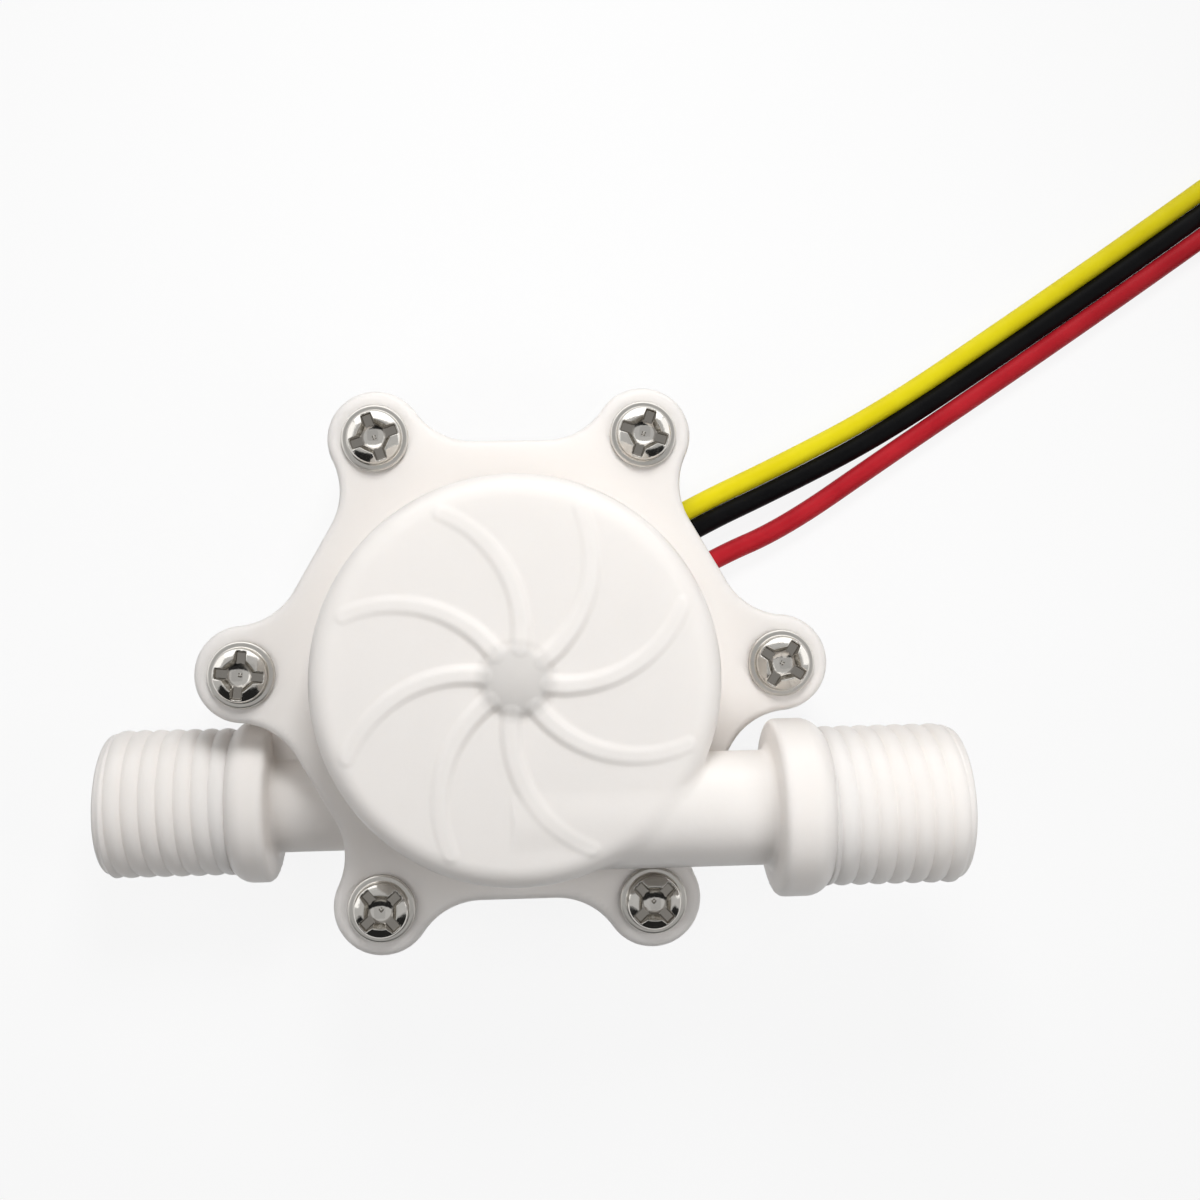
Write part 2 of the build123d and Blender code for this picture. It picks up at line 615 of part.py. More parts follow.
with BuildPart() as connector_contacts:
    with BuildSketch(rear_plane):
        with Locations((0, connector_axis_z)):
            with GridLocations(CONNECTOR_PITCH, 0, len(TAIL_LANES), 1):
                Rectangle(CONTACT_SIZE, CONTACT_SIZE)
    extrude(amount=CONTACT_LENGTH)
finish(connector_contacts.part, "connector_contacts")
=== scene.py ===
"""Looks of a small inline water flow sensor: moulded white shells, plated screws and three insulated leads.

Sizes are in millimetres up to the point where a mesh is made, and in metres from there on. The rotor
axis is Z, the back face lies at Z = 0 and water runs along +X.
"""

import logging
import math
from collections.abc import Callable, Sequence
from dataclasses import dataclass, field
from enum import Enum
from functools import reduce
from itertools import product
from typing import Any

import bmesh
import bpy
import numpy as np
from bpy.types import ID, Material, Mesh, NodeSocket, NodeTree, Object
from mathutils import Matrix, Vector

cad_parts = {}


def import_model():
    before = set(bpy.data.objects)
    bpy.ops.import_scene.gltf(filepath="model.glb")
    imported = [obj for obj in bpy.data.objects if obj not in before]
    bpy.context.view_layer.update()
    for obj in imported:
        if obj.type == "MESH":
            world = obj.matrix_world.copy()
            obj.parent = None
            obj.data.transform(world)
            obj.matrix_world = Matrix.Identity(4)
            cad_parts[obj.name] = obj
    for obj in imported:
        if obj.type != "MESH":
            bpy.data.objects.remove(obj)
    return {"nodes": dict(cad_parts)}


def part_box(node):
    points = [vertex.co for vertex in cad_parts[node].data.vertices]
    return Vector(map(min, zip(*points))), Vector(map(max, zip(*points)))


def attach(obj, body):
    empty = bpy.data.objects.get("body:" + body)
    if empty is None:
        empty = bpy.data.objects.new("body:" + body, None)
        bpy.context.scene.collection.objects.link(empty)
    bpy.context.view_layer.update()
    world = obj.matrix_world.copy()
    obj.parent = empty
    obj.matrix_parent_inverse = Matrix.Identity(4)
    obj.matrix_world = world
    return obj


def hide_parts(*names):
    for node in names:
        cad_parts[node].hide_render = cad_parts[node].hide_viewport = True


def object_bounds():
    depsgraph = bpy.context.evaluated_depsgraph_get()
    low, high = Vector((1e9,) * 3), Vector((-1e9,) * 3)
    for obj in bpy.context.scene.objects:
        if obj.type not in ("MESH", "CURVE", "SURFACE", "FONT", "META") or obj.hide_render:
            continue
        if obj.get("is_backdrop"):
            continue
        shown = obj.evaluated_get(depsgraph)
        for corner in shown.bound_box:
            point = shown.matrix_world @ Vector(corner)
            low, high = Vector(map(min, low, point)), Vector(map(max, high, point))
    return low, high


LOG = logging.getLogger("flow_sensor")
MM = 0.001
TINY = 1e-9
MERGED = 1e-7
Array = np.ndarray
Triple = tuple[float, float, float]
WHITE = (1.0, 1.0, 1.0, 1.0)
HOUSING_BODY = "housing"


def math_method(operation: str, swapped: bool = False) -> Callable[["Term", Any], "Term"]:
    """Returns a method of Term that adds one Math node, with its two sides swapped or not."""

    def method(self: "Term", other: Any) -> "Term":
        """Returns the result as a term."""
        return self.graph.math(operation, *((other, self) if swapped else (self, other)))

    return method


class Term:
    """A number, or one output socket of a shader node, on which arithmetic adds Math nodes."""

    __add__ = math_method("ADD")
    __radd__ = math_method("ADD", swapped=True)
    __sub__ = math_method("SUBTRACT")
    __rsub__ = math_method("SUBTRACT", swapped=True)
    __mul__ = math_method("MULTIPLY")
    __rmul__ = math_method("MULTIPLY", swapped=True)
    __truediv__ = math_method("DIVIDE")
    __pow__ = math_method("POWER")

    def __init__(self, graph: "Graph", source: Any) -> None:
        """Args: graph: the tree that holds the nodes. source: a socket or a number."""
        self.graph = graph
        self.source = source

    def clamped(self) -> "Term":
        """Returns the term held between 0 and 1."""
        return self.graph.math("MINIMUM", self.graph.math("MAXIMUM", self, 0.0), 1.0)


class Graph:
    """A node tree, and the one way in which its nodes are added."""

    def __init__(self, tree: NodeTree) -> None:
        """Args: tree: the tree of a material, a world or a Geometry Nodes group."""
        self.tree = tree
        tree.nodes.clear()

    @classmethod
    def of(cls, owner: ID) -> "Graph":
        """Returns the emptied tree of a material or a world."""
        owner.use_nodes = True
        return cls(owner.node_tree)

    def node(self, kind: str, inputs: dict[Any, Any] | None = None, **settings: Any) -> Any:
        """Adds one node.

        Args:
            kind: the node's type, such as ShaderNodeTexNoise.
            inputs: its sockets by name or number, each a number, a colour, a Term or a socket.
            settings: its own properties, which are set first.

        Returns:
            The node.
        """
        node = self.tree.nodes.new(kind)
        for name, value in settings.items():
            setattr(node, name, value)
        for name, value in (inputs or {}).items():
            self.join(value, node.inputs[name])
        return node

    def term(self, kind: str, inputs: dict[Any, Any] | None = None, output: Any = 0, **settings: Any) -> Term:
        """Returns one output of a new node, given as for node, as a term."""
        return Term(self, self.node(kind, inputs, **settings).outputs[output])

    def join(self, value: Any, socket: NodeSocket) -> None:
        """Links a term or a socket to an input, or sets the input to a plain value."""
        source = value.source if isinstance(value, Term) else value
        if isinstance(source, NodeSocket):
            self.tree.links.new(source, socket)
        else:
            socket.default_value = source

    def math(self, operation: str, *terms: Any) -> Term:
        """Returns the result of one Math node."""
        return self.term("ShaderNodeMath", dict(enumerate(terms)), operation=operation)

    def parts(self, vector: Any) -> list[Term]:
        """Returns a vector's three parts."""
        outputs = self.node("ShaderNodeSeparateXYZ", {0: vector}).outputs
        return [Term(self, outputs[number]) for number in range(3)]

    def object_place(self, scale: float) -> Term:
        """Returns Object coordinates multiplied by a scale."""
        place = self.term("ShaderNodeTexCoord", output="Object")
        return self.term("ShaderNodeVectorMath", {0: place, "Scale": scale}, operation="SCALE")

    def noise(self, size: float, detail: float, roughness: float) -> Term:
        """Returns a noise whose blotches are about the size given, in millimetres."""
        values = {"Vector": self.object_place(1.0 / (size * MM)), "Scale": 1.0, "Detail": detail,
                  "Roughness": roughness}
        return self.term("ShaderNodeTexNoise", values, "Fac")

    def patches(self, size: float, detail: float, roughness: float, level: float, contrast: float) -> Term:
        """Returns patches from 0 to 1: a noise, given as for noise, above a level and times a contrast."""
        return ((self.noise(size, detail, roughness) - level) * contrast).clamped()

    def blend(self, factor: Any, first: Triple, second: Triple) -> Term:
        """Returns a colour between two, by a factor."""
        values = {0: factor, 6: (*first, 1.0), 7: (*second, 1.0)}
        return self.term("ShaderNodeMix", values, 2, data_type="RGBA", clamp_factor=True)

    def bump(self, height: Term, depth: float) -> Term:
        """Returns a bumped normal for a height from 0 to 1 and a depth in millimetres."""
        return self.term("ShaderNodeBump", {"Height": height, "Distance": depth * MM, "Strength": 1.0})

    def rays(self, *kinds: str) -> Term:
        """Returns 1 for rays of the kinds named, and 0 for all others."""
        path = self.node("ShaderNodeLightPath").outputs
        return reduce(Term.__add__, (Term(self, path[f"Is {kind} Ray"]) for kind in kinds)).clamped()


@dataclass(frozen=True)
class Finish:
    """A finish of one material: two near colours, a range of roughness and a fine relief."""

    name: str
    colour: Triple
    second_colour: Triple
    roughness: tuple[float, float]
    blotch: float = 4.0
    grain: float = 0.25
    relief: float = 0.004
    metallic: float = 0.0
    specular: float = 0.5
    coat: float = 0.0
    coat_roughness: float = 0.1
    depth_glow: float = 0.0
    glow_reach: Triple = (1.6, 1.5, 1.3)
    dull_patch_share: float = 0.4

    def material(self) -> Material:
        """Returns the finish's material, made on its first use."""
        label = f"{self.name}_finish"
        return bpy.data.materials.get(label) or self.build(bpy.data.materials.new(label))

    def build(self, material: Material) -> Material:
        """Builds the nodes of an empty material, and returns it."""
        graph = Graph.of(material)
        values = {
            "Metallic": self.metallic,
            "Specular IOR Level": self.specular,
            "Coat Weight": self.coat,
            "Coat Roughness": self.coat_roughness,
            "Base Color": self.colour_of(graph),
            "Roughness": self.roughness_of(graph),
            "Normal": self.normal_of(graph),
        }
        if self.depth_glow:
            values |= {"Subsurface Weight": self.depth_glow, "Subsurface Radius": self.glow_reach,
                       "Subsurface Scale": MM}
        shader = graph.node("ShaderNodeBsdfPrincipled", values)
        graph.node("ShaderNodeOutputMaterial", {"Surface": shader.outputs[0]})
        return material

    def colour_patches(self, graph: Graph) -> Term:
        """Returns where the second colour shows."""
        return graph.patches(self.blotch, detail=4.0, roughness=0.55, level=0.35, contrast=3.0)

    def colour_of(self, graph: Graph) -> Term:
        """Returns the colour over the surface."""
        return graph.blend(self.colour_patches(graph), self.colour, self.second_colour)

    def roughness_of(self, graph: Graph) -> Term:
        """Returns the roughness over the surface."""
        low, high = self.roughness
        patches = graph.noise(self.blotch * self.dull_patch_share, detail=3.0, roughness=0.6)
        return low + (high - low) * patches

    def normal_of(self, graph: Graph) -> Term:
        """Returns the relief's normal."""
        return graph.bump(graph.noise(self.grain, detail=2.0, roughness=0.5), self.relief)


@dataclass(frozen=True)
class HousingPlastic(Finish):
    """Milky moulded plastic, with painted shade that darkens the boss round the rotor axis."""

    painted_shade_reach: float = 2.95
    painted_shade_height: float = 20.0
    painted_shade_fade: float = 3.0
    patch_shade: float = 0.06

    def colour_of(self, graph: Graph) -> Term:
        """Returns the plastic's colour, with random patches and painted shade that darkens the boss."""
        across, along, height = graph.parts(graph.object_place(1.0 / MM))
        # Painted shade: near the rotor axis and above the dome's face the colour darkens over the boss.
        near = (self.painted_shade_reach - (across * across + along * along) ** 0.5).clamped()
        boss_painted_shade = near * ((height - self.painted_shade_height) * self.painted_shade_fade).clamped()
        shade = self.colour_patches(graph) * self.patch_shade + boss_painted_shade
        return graph.blend(shade.clamped(), self.colour, self.second_colour)


@dataclass(frozen=True)
class PlatedMetal(Finish):
    """Bright plating with darker thin patches, dull on the washer and in the recess, and with painted shade
    in the recess, on the head's side and at the washer's foot.
    """

    washer_foot: float = 13.4
    washer_top: float = 13.56
    core_rim: float = 13.8
    recess_rim: float = 14.16
    washer_dullness: float = 0.2
    recess_dullness: float = 0.05
    thin_patch_shade: float = 0.15
    dull_patch: float = 0.9

    @staticmethod
    def above(graph: Graph, level: float, sharpness: float) -> Term:
        """Returns 1 above a height and 0 below it, or the reverse for a negative sharpness."""
        return ((graph.parts(graph.object_place(1.0 / MM))[2] - level) * sharpness).clamped()

    def recessed(self, graph: Graph) -> Term:
        """Returns 1 in the wings of the recess and on the head's side, and 0 elsewhere: where the colour gets
        painted shade and the plating is duller.
        """
        under_rim = self.above(graph, self.recess_rim, sharpness=-5.0)
        return under_rim * self.above(graph, self.core_rim, sharpness=20.0)

    def colour_of(self, graph: Graph) -> Term:
        """Returns the plating's colour: darker in thin patches, with painted shade in the recess, on the
        head's side and at the washer's foot.
        """
        thin = graph.patches(self.blotch, detail=4.0, roughness=0.6, level=0.4, contrast=2.0)
        # Painted shade: a dark ring at the washer's foot and a darker recess and head side stand in for
        # contact shadow and shade.
        foot_painted_shade = self.above(graph, self.washer_foot, sharpness=-12.0)
        shade = thin * self.thin_patch_shade + self.recessed(graph) + foot_painted_shade
        return graph.blend(shade.clamped(), self.colour, self.second_colour)

    def roughness_of(self, graph: Graph) -> Term:
        """Returns a roughness with dull patches, and a duller washer and recess."""
        low, high = self.roughness
        dull = graph.patches(self.dull_patch, detail=5.0, roughness=0.65, level=0.5, contrast=5.0)
        washer = self.washer_dullness * self.above(graph, self.washer_top, sharpness=-20.0)
        return low + (high - low) * dull + washer + self.recess_dullness * self.recessed(graph)


@dataclass(frozen=True)
class Insulation(Finish):
    """Extruded lead insulation: long faint waves and small scuffs."""

    wave: float = 3.0
    scuff: float = 0.35
    scuff_share: float = 0.2

    def normal_of(self, graph: Graph) -> Term:
        """Returns the normal of long waves with fine scuffs on them."""
        waves = graph.noise(self.wave, detail=1.0, roughness=0.4)
        scuffs = graph.noise(self.scuff, detail=3.0, roughness=0.6)
        return graph.bump(waves * (1 - self.scuff_share) + scuffs * self.scuff_share, self.relief)


# Its second colour serves both the random patches and the painted shade on the boss.
HOUSING_PLASTIC = HousingPlastic(
    "housing_plastic", (0.89, 0.85, 0.815), (0.69, 0.665, 0.64), (0.32, 0.44), blotch=7.0, grain=0.9,
    relief=0.01, specular=0.4, depth_glow=0.45, glow_reach=(1.8, 1.75, 1.7),
)
# Its second colour serves the thin patches and the painted shade in the recess, on the head's side and at the
# washer's foot.
PLATING = PlatedMetal("screw_plating", (0.76, 0.735, 0.69), (0.4, 0.375, 0.34), (0.1, 0.2), blotch=0.7,
                      grain=0.12, metallic=1.0)
YELLOW_LEAD = Insulation("lead_yellow", (0.83, 0.70, 0.008), (0.88, 0.77, 0.015), (0.38, 0.52),
                         relief=0.05, specular=0.15)
BLACK_LEAD = Insulation("lead_black", (0.003, 0.003, 0.0035), (0.006, 0.006, 0.0065), (0.42, 0.56),
                        relief=0.05, specular=0.08)
RED_LEAD = Insulation("lead_red", (0.46, 0.013, 0.022), (0.54, 0.02, 0.03), (0.38, 0.52),
                      relief=0.05, specular=0.15)
RESIN = Finish("potting_resin", (0.74, 0.72, 0.66), (0.80, 0.785, 0.74), (0.12, 0.26), blotch=3.0,
               grain=1.2, relief=0.05, depth_glow=0.3)
ROTOR_PLASTIC = Finish("rotor_plastic", (0.78, 0.78, 0.76), (0.83, 0.83, 0.81), (0.38, 0.5), relief=0.01)
STEEL = Finish("shaft_steel", (0.55, 0.55, 0.56), (0.63, 0.63, 0.64), (0.16, 0.3), metallic=1.0, grain=0.08)
RUBBER = Finish("seal_rubber", (0.016, 0.016, 0.017), (0.03, 0.03, 0.031), (0.5, 0.66), relief=0.02)
SLIP_PLASTIC = Finish("washer_plastic", (0.78, 0.74, 0.62), (0.83, 0.8, 0.7), (0.35, 0.5))
SINTERED = Finish("magnet", (0.05, 0.05, 0.055), (0.09, 0.09, 0.095), (0.4, 0.6), metallic=0.6, relief=0.03)
SOLDER_MASK = Finish("board", (0.012, 0.16, 0.06), (0.02, 0.22, 0.09), (0.2, 0.32), coat=0.3)
EPOXY_BLACK = Finish("chip_black", (0.02, 0.02, 0.021), (0.035, 0.035, 0.036), (0.42, 0.58), relief=0.015)
TINNED = Finish("tinned_metal", (0.62, 0.62, 0.6), (0.7, 0.7, 0.68), (0.2, 0.42), metallic=1.0, relief=0.02)
CERAMIC = Finish("ceramic", (0.36, 0.24, 0.14), (0.44, 0.31, 0.2), (0.45, 0.6))
CONNECTOR_PLASTIC = Finish("connector_plastic", (0.77, 0.76, 0.71), (0.82, 0.81, 0.77), (0.36, 0.5),
                           relief=0.012, depth_glow=0.2)
CONTACT_METAL = Finish("contact_metal", (0.66, 0.6, 0.46), (0.74, 0.68, 0.55), (0.2, 0.34), metallic=1.0)


def common(*forms: Array) -> Array:
    """Distance to what all forms share, with sharp edges."""
    return reduce(np.maximum, forms)


def round_join(first: Array, second: Array, radius: float) -> Array:
    """Distance to two forms joined, with a hollow fillet of a radius along their seam."""
    corner = np.hypot(np.maximum(radius - first, 0), np.maximum(radius - second, 0))
    return np.maximum(radius, np.minimum(first, second)) - corner


def round_common(first: Array, second: Array, radius: float) -> Array:
    """Distance to what two forms share, with its edge rounded to a radius."""
    corner = np.hypot(np.maximum(radius + first, 0), np.maximum(radius + second, 0))
    return np.minimum(-radius, np.maximum(first, second)) + corner


def new_mesh(name: str, points: Sequence[Any], faces: Sequence[Any] = ()) -> Mesh:
    """Returns a mesh of points and faces."""
    mesh = bpy.data.meshes.new(name)
    mesh.from_pydata(points, [], faces)
    return mesh


def linked(name: str, data: ID) -> Object:
    """Returns a new object in the scene."""
    piece = bpy.data.objects.new(name, data)
    bpy.context.scene.collection.objects.link(piece)
    return piece


@dataclass(frozen=True)
class MouldedForm:
    """A form given by its signed distance in millimetres, and meshed at one cell size.

    The mesh has one point for each cell that the surface crosses, moved onto the surface itself, and its
    normals come from the distance's slope.
    """

    distance: Callable[[Array, Array, Array], Array]
    low: Array
    high: Array
    cell: float
    pulls: int = 3
    pull_reach: float = 0.5
    least_steepness: float = 0.25
    slope_step: float = 0.02
    shading_step: float = 0.06
    fine_zone: Callable[[Array], Array] | None = None

    def slope(self, places: Array, step: float) -> Array:
        """Returns the distance's slope at places, over a step."""
        parts = [self.distance(*(places + offset).T) - self.distance(*(places - offset).T)
                 for offset in np.eye(3) * step]
        return np.stack(parts, axis=1) / (2 * step)

    def corners(self) -> tuple[Array, Array]:
        """Returns the places of the mesh's points, and its four-sided faces as numbers of points."""
        axes = [np.arange(low, high + self.cell, self.cell) for low, high in zip(self.low, self.high)]
        grid = self.distance(*np.meshgrid(*axes, indexing="ij", sparse=True))
        inside = grid < 0
        shifted = [inside[tuple(slice(step, size - 1 + step) for step, size in zip(steps, grid.shape))]
                   for steps in product((0, 1), repeat=3)]
        crossed = np.logical_or.reduce(shifted) & ~np.logical_and.reduce(shifted)
        cells = np.argwhere(crossed)
        numbers = np.full(crossed.shape, -1)
        numbers[crossed] = np.arange(len(cells))
        places = self.low + self.cell * (cells + self.middles(grid, cells))
        return places, np.concatenate([self.faces_across(axis, inside, numbers) for axis in range(3)])

    @staticmethod
    def middles(grid: Array, cells: Array) -> Array:
        """Returns, for each crossed cell, the middle of where its edges meet the surface."""
        total = np.zeros((len(cells), 3))
        hits = np.zeros((len(cells), 1))
        for axis, first, second in product(range(3), (0, 1), (0, 1)):
            start = np.roll([0, first, second], axis)
            along = np.eye(3, dtype=int)[axis]
            here = grid[tuple((cells + start).T)]
            there = grid[tuple((cells + start + along).T)]
            meets = (here < 0) != (there < 0)
            share = np.where(meets, here / np.where(meets, here - there, 1.0), 0.0)
            total += np.where(meets[:, None], start + share[:, None] * along, 0.0)
            hits[:, 0] += meets
        return total / hits

    @staticmethod
    def faces_across(axis: int, inside: Array, numbers: Array) -> Array:
        """Returns the faces that cross the grid's edges along one axis, each turned outwards."""
        order = [(axis + step) % 3 for step in range(3)]
        turned, cells = inside.transpose(order), numbers.transpose(order)
        a, b, c = np.nonzero(turned[:-1, 1:-1, 1:-1] != turned[1:, 1:-1, 1:-1])
        ring = [cells[a, b + over, c + up] for over, up in ((0, 0), (1, 0), (1, 1), (0, 1))]
        faces = np.stack(ring, axis=1)
        return np.where(turned[a, b + 1, c + 1][:, None], faces, faces[:, ::-1])

    def mesh(self, name: str) -> Mesh:
        """Returns the form as a smooth mesh, in metres."""
        mesh = self.refined(name, *self.corners())
        places = np.empty(3 * len(mesh.vertices))
        mesh.vertices.foreach_get("co", places)
        places = places.reshape(-1, 3)
        reach = self.pull_reach * self.cell
        for _ in range(self.pulls):
            slope = self.slope(places, self.slope_step)
            steepness = np.maximum((slope**2).sum(axis=1), self.least_steepness)
            shift = (self.distance(*places.T) / steepness)[:, None] * slope
            places = places - np.clip(shift, -reach, reach)
        normals = self.slope(places, self.shading_step)
        normals /= np.maximum(np.linalg.norm(normals, axis=1, keepdims=True), TINY)
        mesh.vertices.foreach_set("co", (places * MM).ravel())
        mesh.update()
        mesh.shade_smooth()
        mesh.normals_split_custom_set_from_vertices(normals.tolist())
        LOG.info("%s: %d triangles", name, sum(len(face.vertices) - 2 for face in mesh.polygons))
        return mesh

    def refined(self, name: str, places: Array, faces: Array) -> Mesh:
        """Returns the mesh in millimetres, with the faces of the fine zone divided once more."""
        mesh = new_mesh(name, places.tolist(), faces.tolist())
        if self.fine_zone is None:
            return mesh
        near = self.fine_zone(places)
        shape = bmesh.new()
        shape.from_mesh(mesh)
        edges = [edge for edge in shape.edges if all(near[vertex.index] for vertex in edge.verts)]
        bmesh.ops.subdivide_edges(shape, edges=edges, cuts=1, use_grid_fill=True)
        shape.to_mesh(mesh)
        shape.free()
        return mesh


def add_piece(data: ID, finish: Finish, body: str, slot: str, *nodes: str) -> Object:
    """Puts one finished piece in the scene.

    Args:
        data: its mesh or curve, in the row frame.
        finish: what its surface looks like.
        body: the body that it moves with.
        slot: not used.
        nodes: the CAD nodes that it stands for.

    Returns:
        The piece.
    """
    piece = linked(data.name, data)
    if not data.materials:
        data.materials.append(finish.material())
    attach(piece, body)
    if nodes:
        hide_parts(*nodes)
    LOG.info("piece %s on %s", piece.name, body)
    return piece


class PortSide(Enum):
    """The two ports: which way each points."""

    OUTLET = 1
    INLET = -1


@dataclass(frozen=True)
class Flange:
    """The outline that both shells share: a hexagon with a round lobe at each screw."""

    centre_x: float = -0.16
    centre_y: float = 0.45
    apothem: float = 16.6
    screw_circle: float = 19.4
    lobe_radius: float = 3.5
    blend_radius: float = 5.0
    screw_count: int = 6

    def screw_places(self) -> list[tuple[float, float]]:
        """Returns the middles of the screws."""
        turns = [2 * math.pi * number / self.screw_count for number in range(self.screw_count)]
        return [(self.centre_x + self.screw_circle * math.cos(turn),
                 self.centre_y + self.screw_circle * math.sin(turn)) for turn in turns]

    def folded(self, x: Array, y: Array) -> tuple[Array, Array]:
        """Returns places folded into half a lobe's sector, along and across its axis."""
        sector = 2 * math.pi / self.screw_count
        angle = np.arctan2(y - self.centre_y, x - self.centre_x)
        near = np.abs((angle + sector / 2) % sector - sector / 2)
        radius = np.hypot(x - self.centre_x, y - self.centre_y)
        return radius * np.cos(near), radius * np.sin(near)

    def distance(self, x: Array, y: Array) -> Array:
        """Returns the distance to the outline in plan, negative inside."""
        along, across = self.folded(x, y)
        half = math.pi / self.screw_count
        side = np.array([math.cos(half), math.sin(half)])
        way = np.array([-side[1], side[0]])
        lobe = np.array([self.screw_circle, 0.0])
        gap = self.apothem + self.blend_radius - side @ lobe
        reach = math.sqrt((self.lobe_radius + self.blend_radius) ** 2 - gap**2)
        hollow = side * (self.apothem + self.blend_radius) + way * (way @ lobe + reach)
        to_lobe = lobe - hollow
        from_hollow = (along - hollow[0], across - hollow[1])
        past_side = -side[0] * from_hollow[1] + side[1] * from_hollow[0]
        past_lobe = from_hollow[0] * to_lobe[1] - from_hollow[1] * to_lobe[0]
        straight = along * side[0] + across * side[1] - self.apothem
        lobed = np.hypot(along - self.screw_circle, across) - self.lobe_radius
        blended = self.blend_radius - np.hypot(*from_hollow)
        return np.where(past_side < 0, straight, np.where(past_lobe < 0, lobed, blended))


@dataclass(frozen=True)
class Port:
    """One threaded port along X, measured from the ports' middle: shank, collar, thread core and way."""

    side: PortSide
    axis_z: float
    collar_start: float
    thread_phase: float
    axis_y: float = -9.42
    middle_x: float = -0.12
    shank_radius: float = 3.95
    collar_slope: float = 0.25
    collar_chamfer: float = 0.5
    collar_radius: float = 6.12
    collar_rounding: float = 0.45
    collar_run: float = 0.45
    thread_start: float = 20.95
    thread_radius: float = 5.5
    thread_length: float = 9.75
    core_radius: float = 4.75
    core_overlap: float = 1.0
    end_inset: float = 0.8
    way_radius: float = 2.6
    mouth_radius: float = 3.4
    mouth_depth: float = 8.0
    wall_inset: float = 0.1

    @property
    def end(self) -> float:
        """The port's end face."""
        return self.thread_start + self.thread_length

    def outwards(self, x: Array, y: Array, z: Array) -> tuple[Array, Array]:
        """Returns how far out along the port a place is, and its distance from the axis."""
        return (x - self.middle_x) * self.side.value, np.hypot(y - self.axis_y, z - self.axis_z)

    def solid(self, x: Array, y: Array, z: Array) -> Array:
        """Returns the distance to the port without its water way."""
        out, radius = self.outwards(x, y, z)
        collar_end = self.thread_start - self.collar_chamfer
        shank = common(radius - self.shank_radius, out - collar_end, -out)
        rise = self.collar_radius - self.shank_radius
        slope = (self.collar_start - out) * rise + (radius - self.shank_radius) * self.collar_slope
        slope = slope / math.hypot(rise, self.collar_slope)
        chamfer = ((out - collar_end) + (radius - self.collar_radius)) / math.sqrt(2)
        collar = round_common(radius - self.collar_radius, slope, self.collar_rounding)
        collar = round_common(collar, chamfer, self.collar_rounding)
        collar = np.maximum(collar, out - self.thread_start - self.collar_run)
        core = common(radius - self.core_radius, out - self.end + self.end_inset,
                      collar_end - self.core_overlap - out)
        return np.minimum(round_join(shank, collar, self.collar_rounding), core)

    def water_way(self, x: Array, y: Array, z: Array) -> Array:
        """Returns the distance to the water way inside the port."""
        out, radius = self.outwards(x, y, z)
        step = self.mouth_radius - self.way_radius
        cone = (radius - self.way_radius - (out - self.end + self.mouth_depth)) / math.sqrt(2)
        mouth = common(radius - self.mouth_radius - self.wall_inset, cone,
                       self.end - self.mouth_depth - step - out)
        return np.minimum(np.maximum(radius - self.way_radius, -out), mouth)


@dataclass(frozen=True)
class SwirlRibs:
    """The ridges on the dome: arcs that leave the boss and fade out near the edge."""

    count: int = 8
    root_angle: float = 81.4
    sweep: float = 32.0
    start_radius: float = 2.1
    end_radius: float = 12.3
    bow: float = 1.85
    root_half_width: float = 0.9
    tip_half_width: float = 0.72
    root_height: float = 0.36
    tip_height: float = 0.09
    fade: float = 0.7
    crown_share: float = 0.3

    def arc(self) -> tuple[Array, float, float, float]:
        """Returns the middle and radius of one rib's arc, its first angle and the angle that it covers."""
        ends = []
        for radius, angle in ((self.start_radius, 0.0), (self.end_radius, self.sweep)):
            turn = math.radians(self.root_angle + angle)
            ends.append(radius * np.array([math.cos(turn), math.sin(turn)]))
        chord = ends[1] - ends[0]
        length = float(np.hypot(*chord))
        radius = (length**2 / 4 + self.bow**2) / (2 * self.bow)
        right = np.array([chord[1], -chord[0]]) / length
        middle = (ends[0] + ends[1]) / 2 + right * (self.bow - radius)
        angles = [math.atan2(*(end - middle)[::-1]) for end in ends]
        return middle, radius, angles[0], angles[1] - angles[0]

    def height(self, x: Array, y: Array) -> Array:
        """Returns how far the ribs stand above the dome at a place in plan."""
        middle, arc_radius, first, cover = self.arc()
        tallest = np.zeros(np.broadcast(x, y).shape)
        for number in range(self.count):
            turn = -2 * math.pi * number / self.count
            turned_x = x * math.cos(turn) - y * math.sin(turn) - middle[0]
            turned_y = x * math.sin(turn) + y * math.cos(turn) - middle[1]
            angle = np.arctan2(turned_y, turned_x) - first
            share = np.clip(angle / cover, 0, 1)
            beyond = (angle - share * cover) * arc_radius
            aside = np.hypot(np.hypot(turned_x, turned_y) - arc_radius, beyond)
            width = self.root_half_width + (self.tip_half_width - self.root_half_width) * share
            tall = self.root_height + (self.tip_height - self.root_height) * share**self.fade
            shoulder = np.clip((aside / width - self.crown_share) / (1 - self.crown_share), 0, 1)
            tallest = np.maximum(tallest, tall * (1 - shoulder**2 * (3 - 2 * shoulder)))
        return tallest


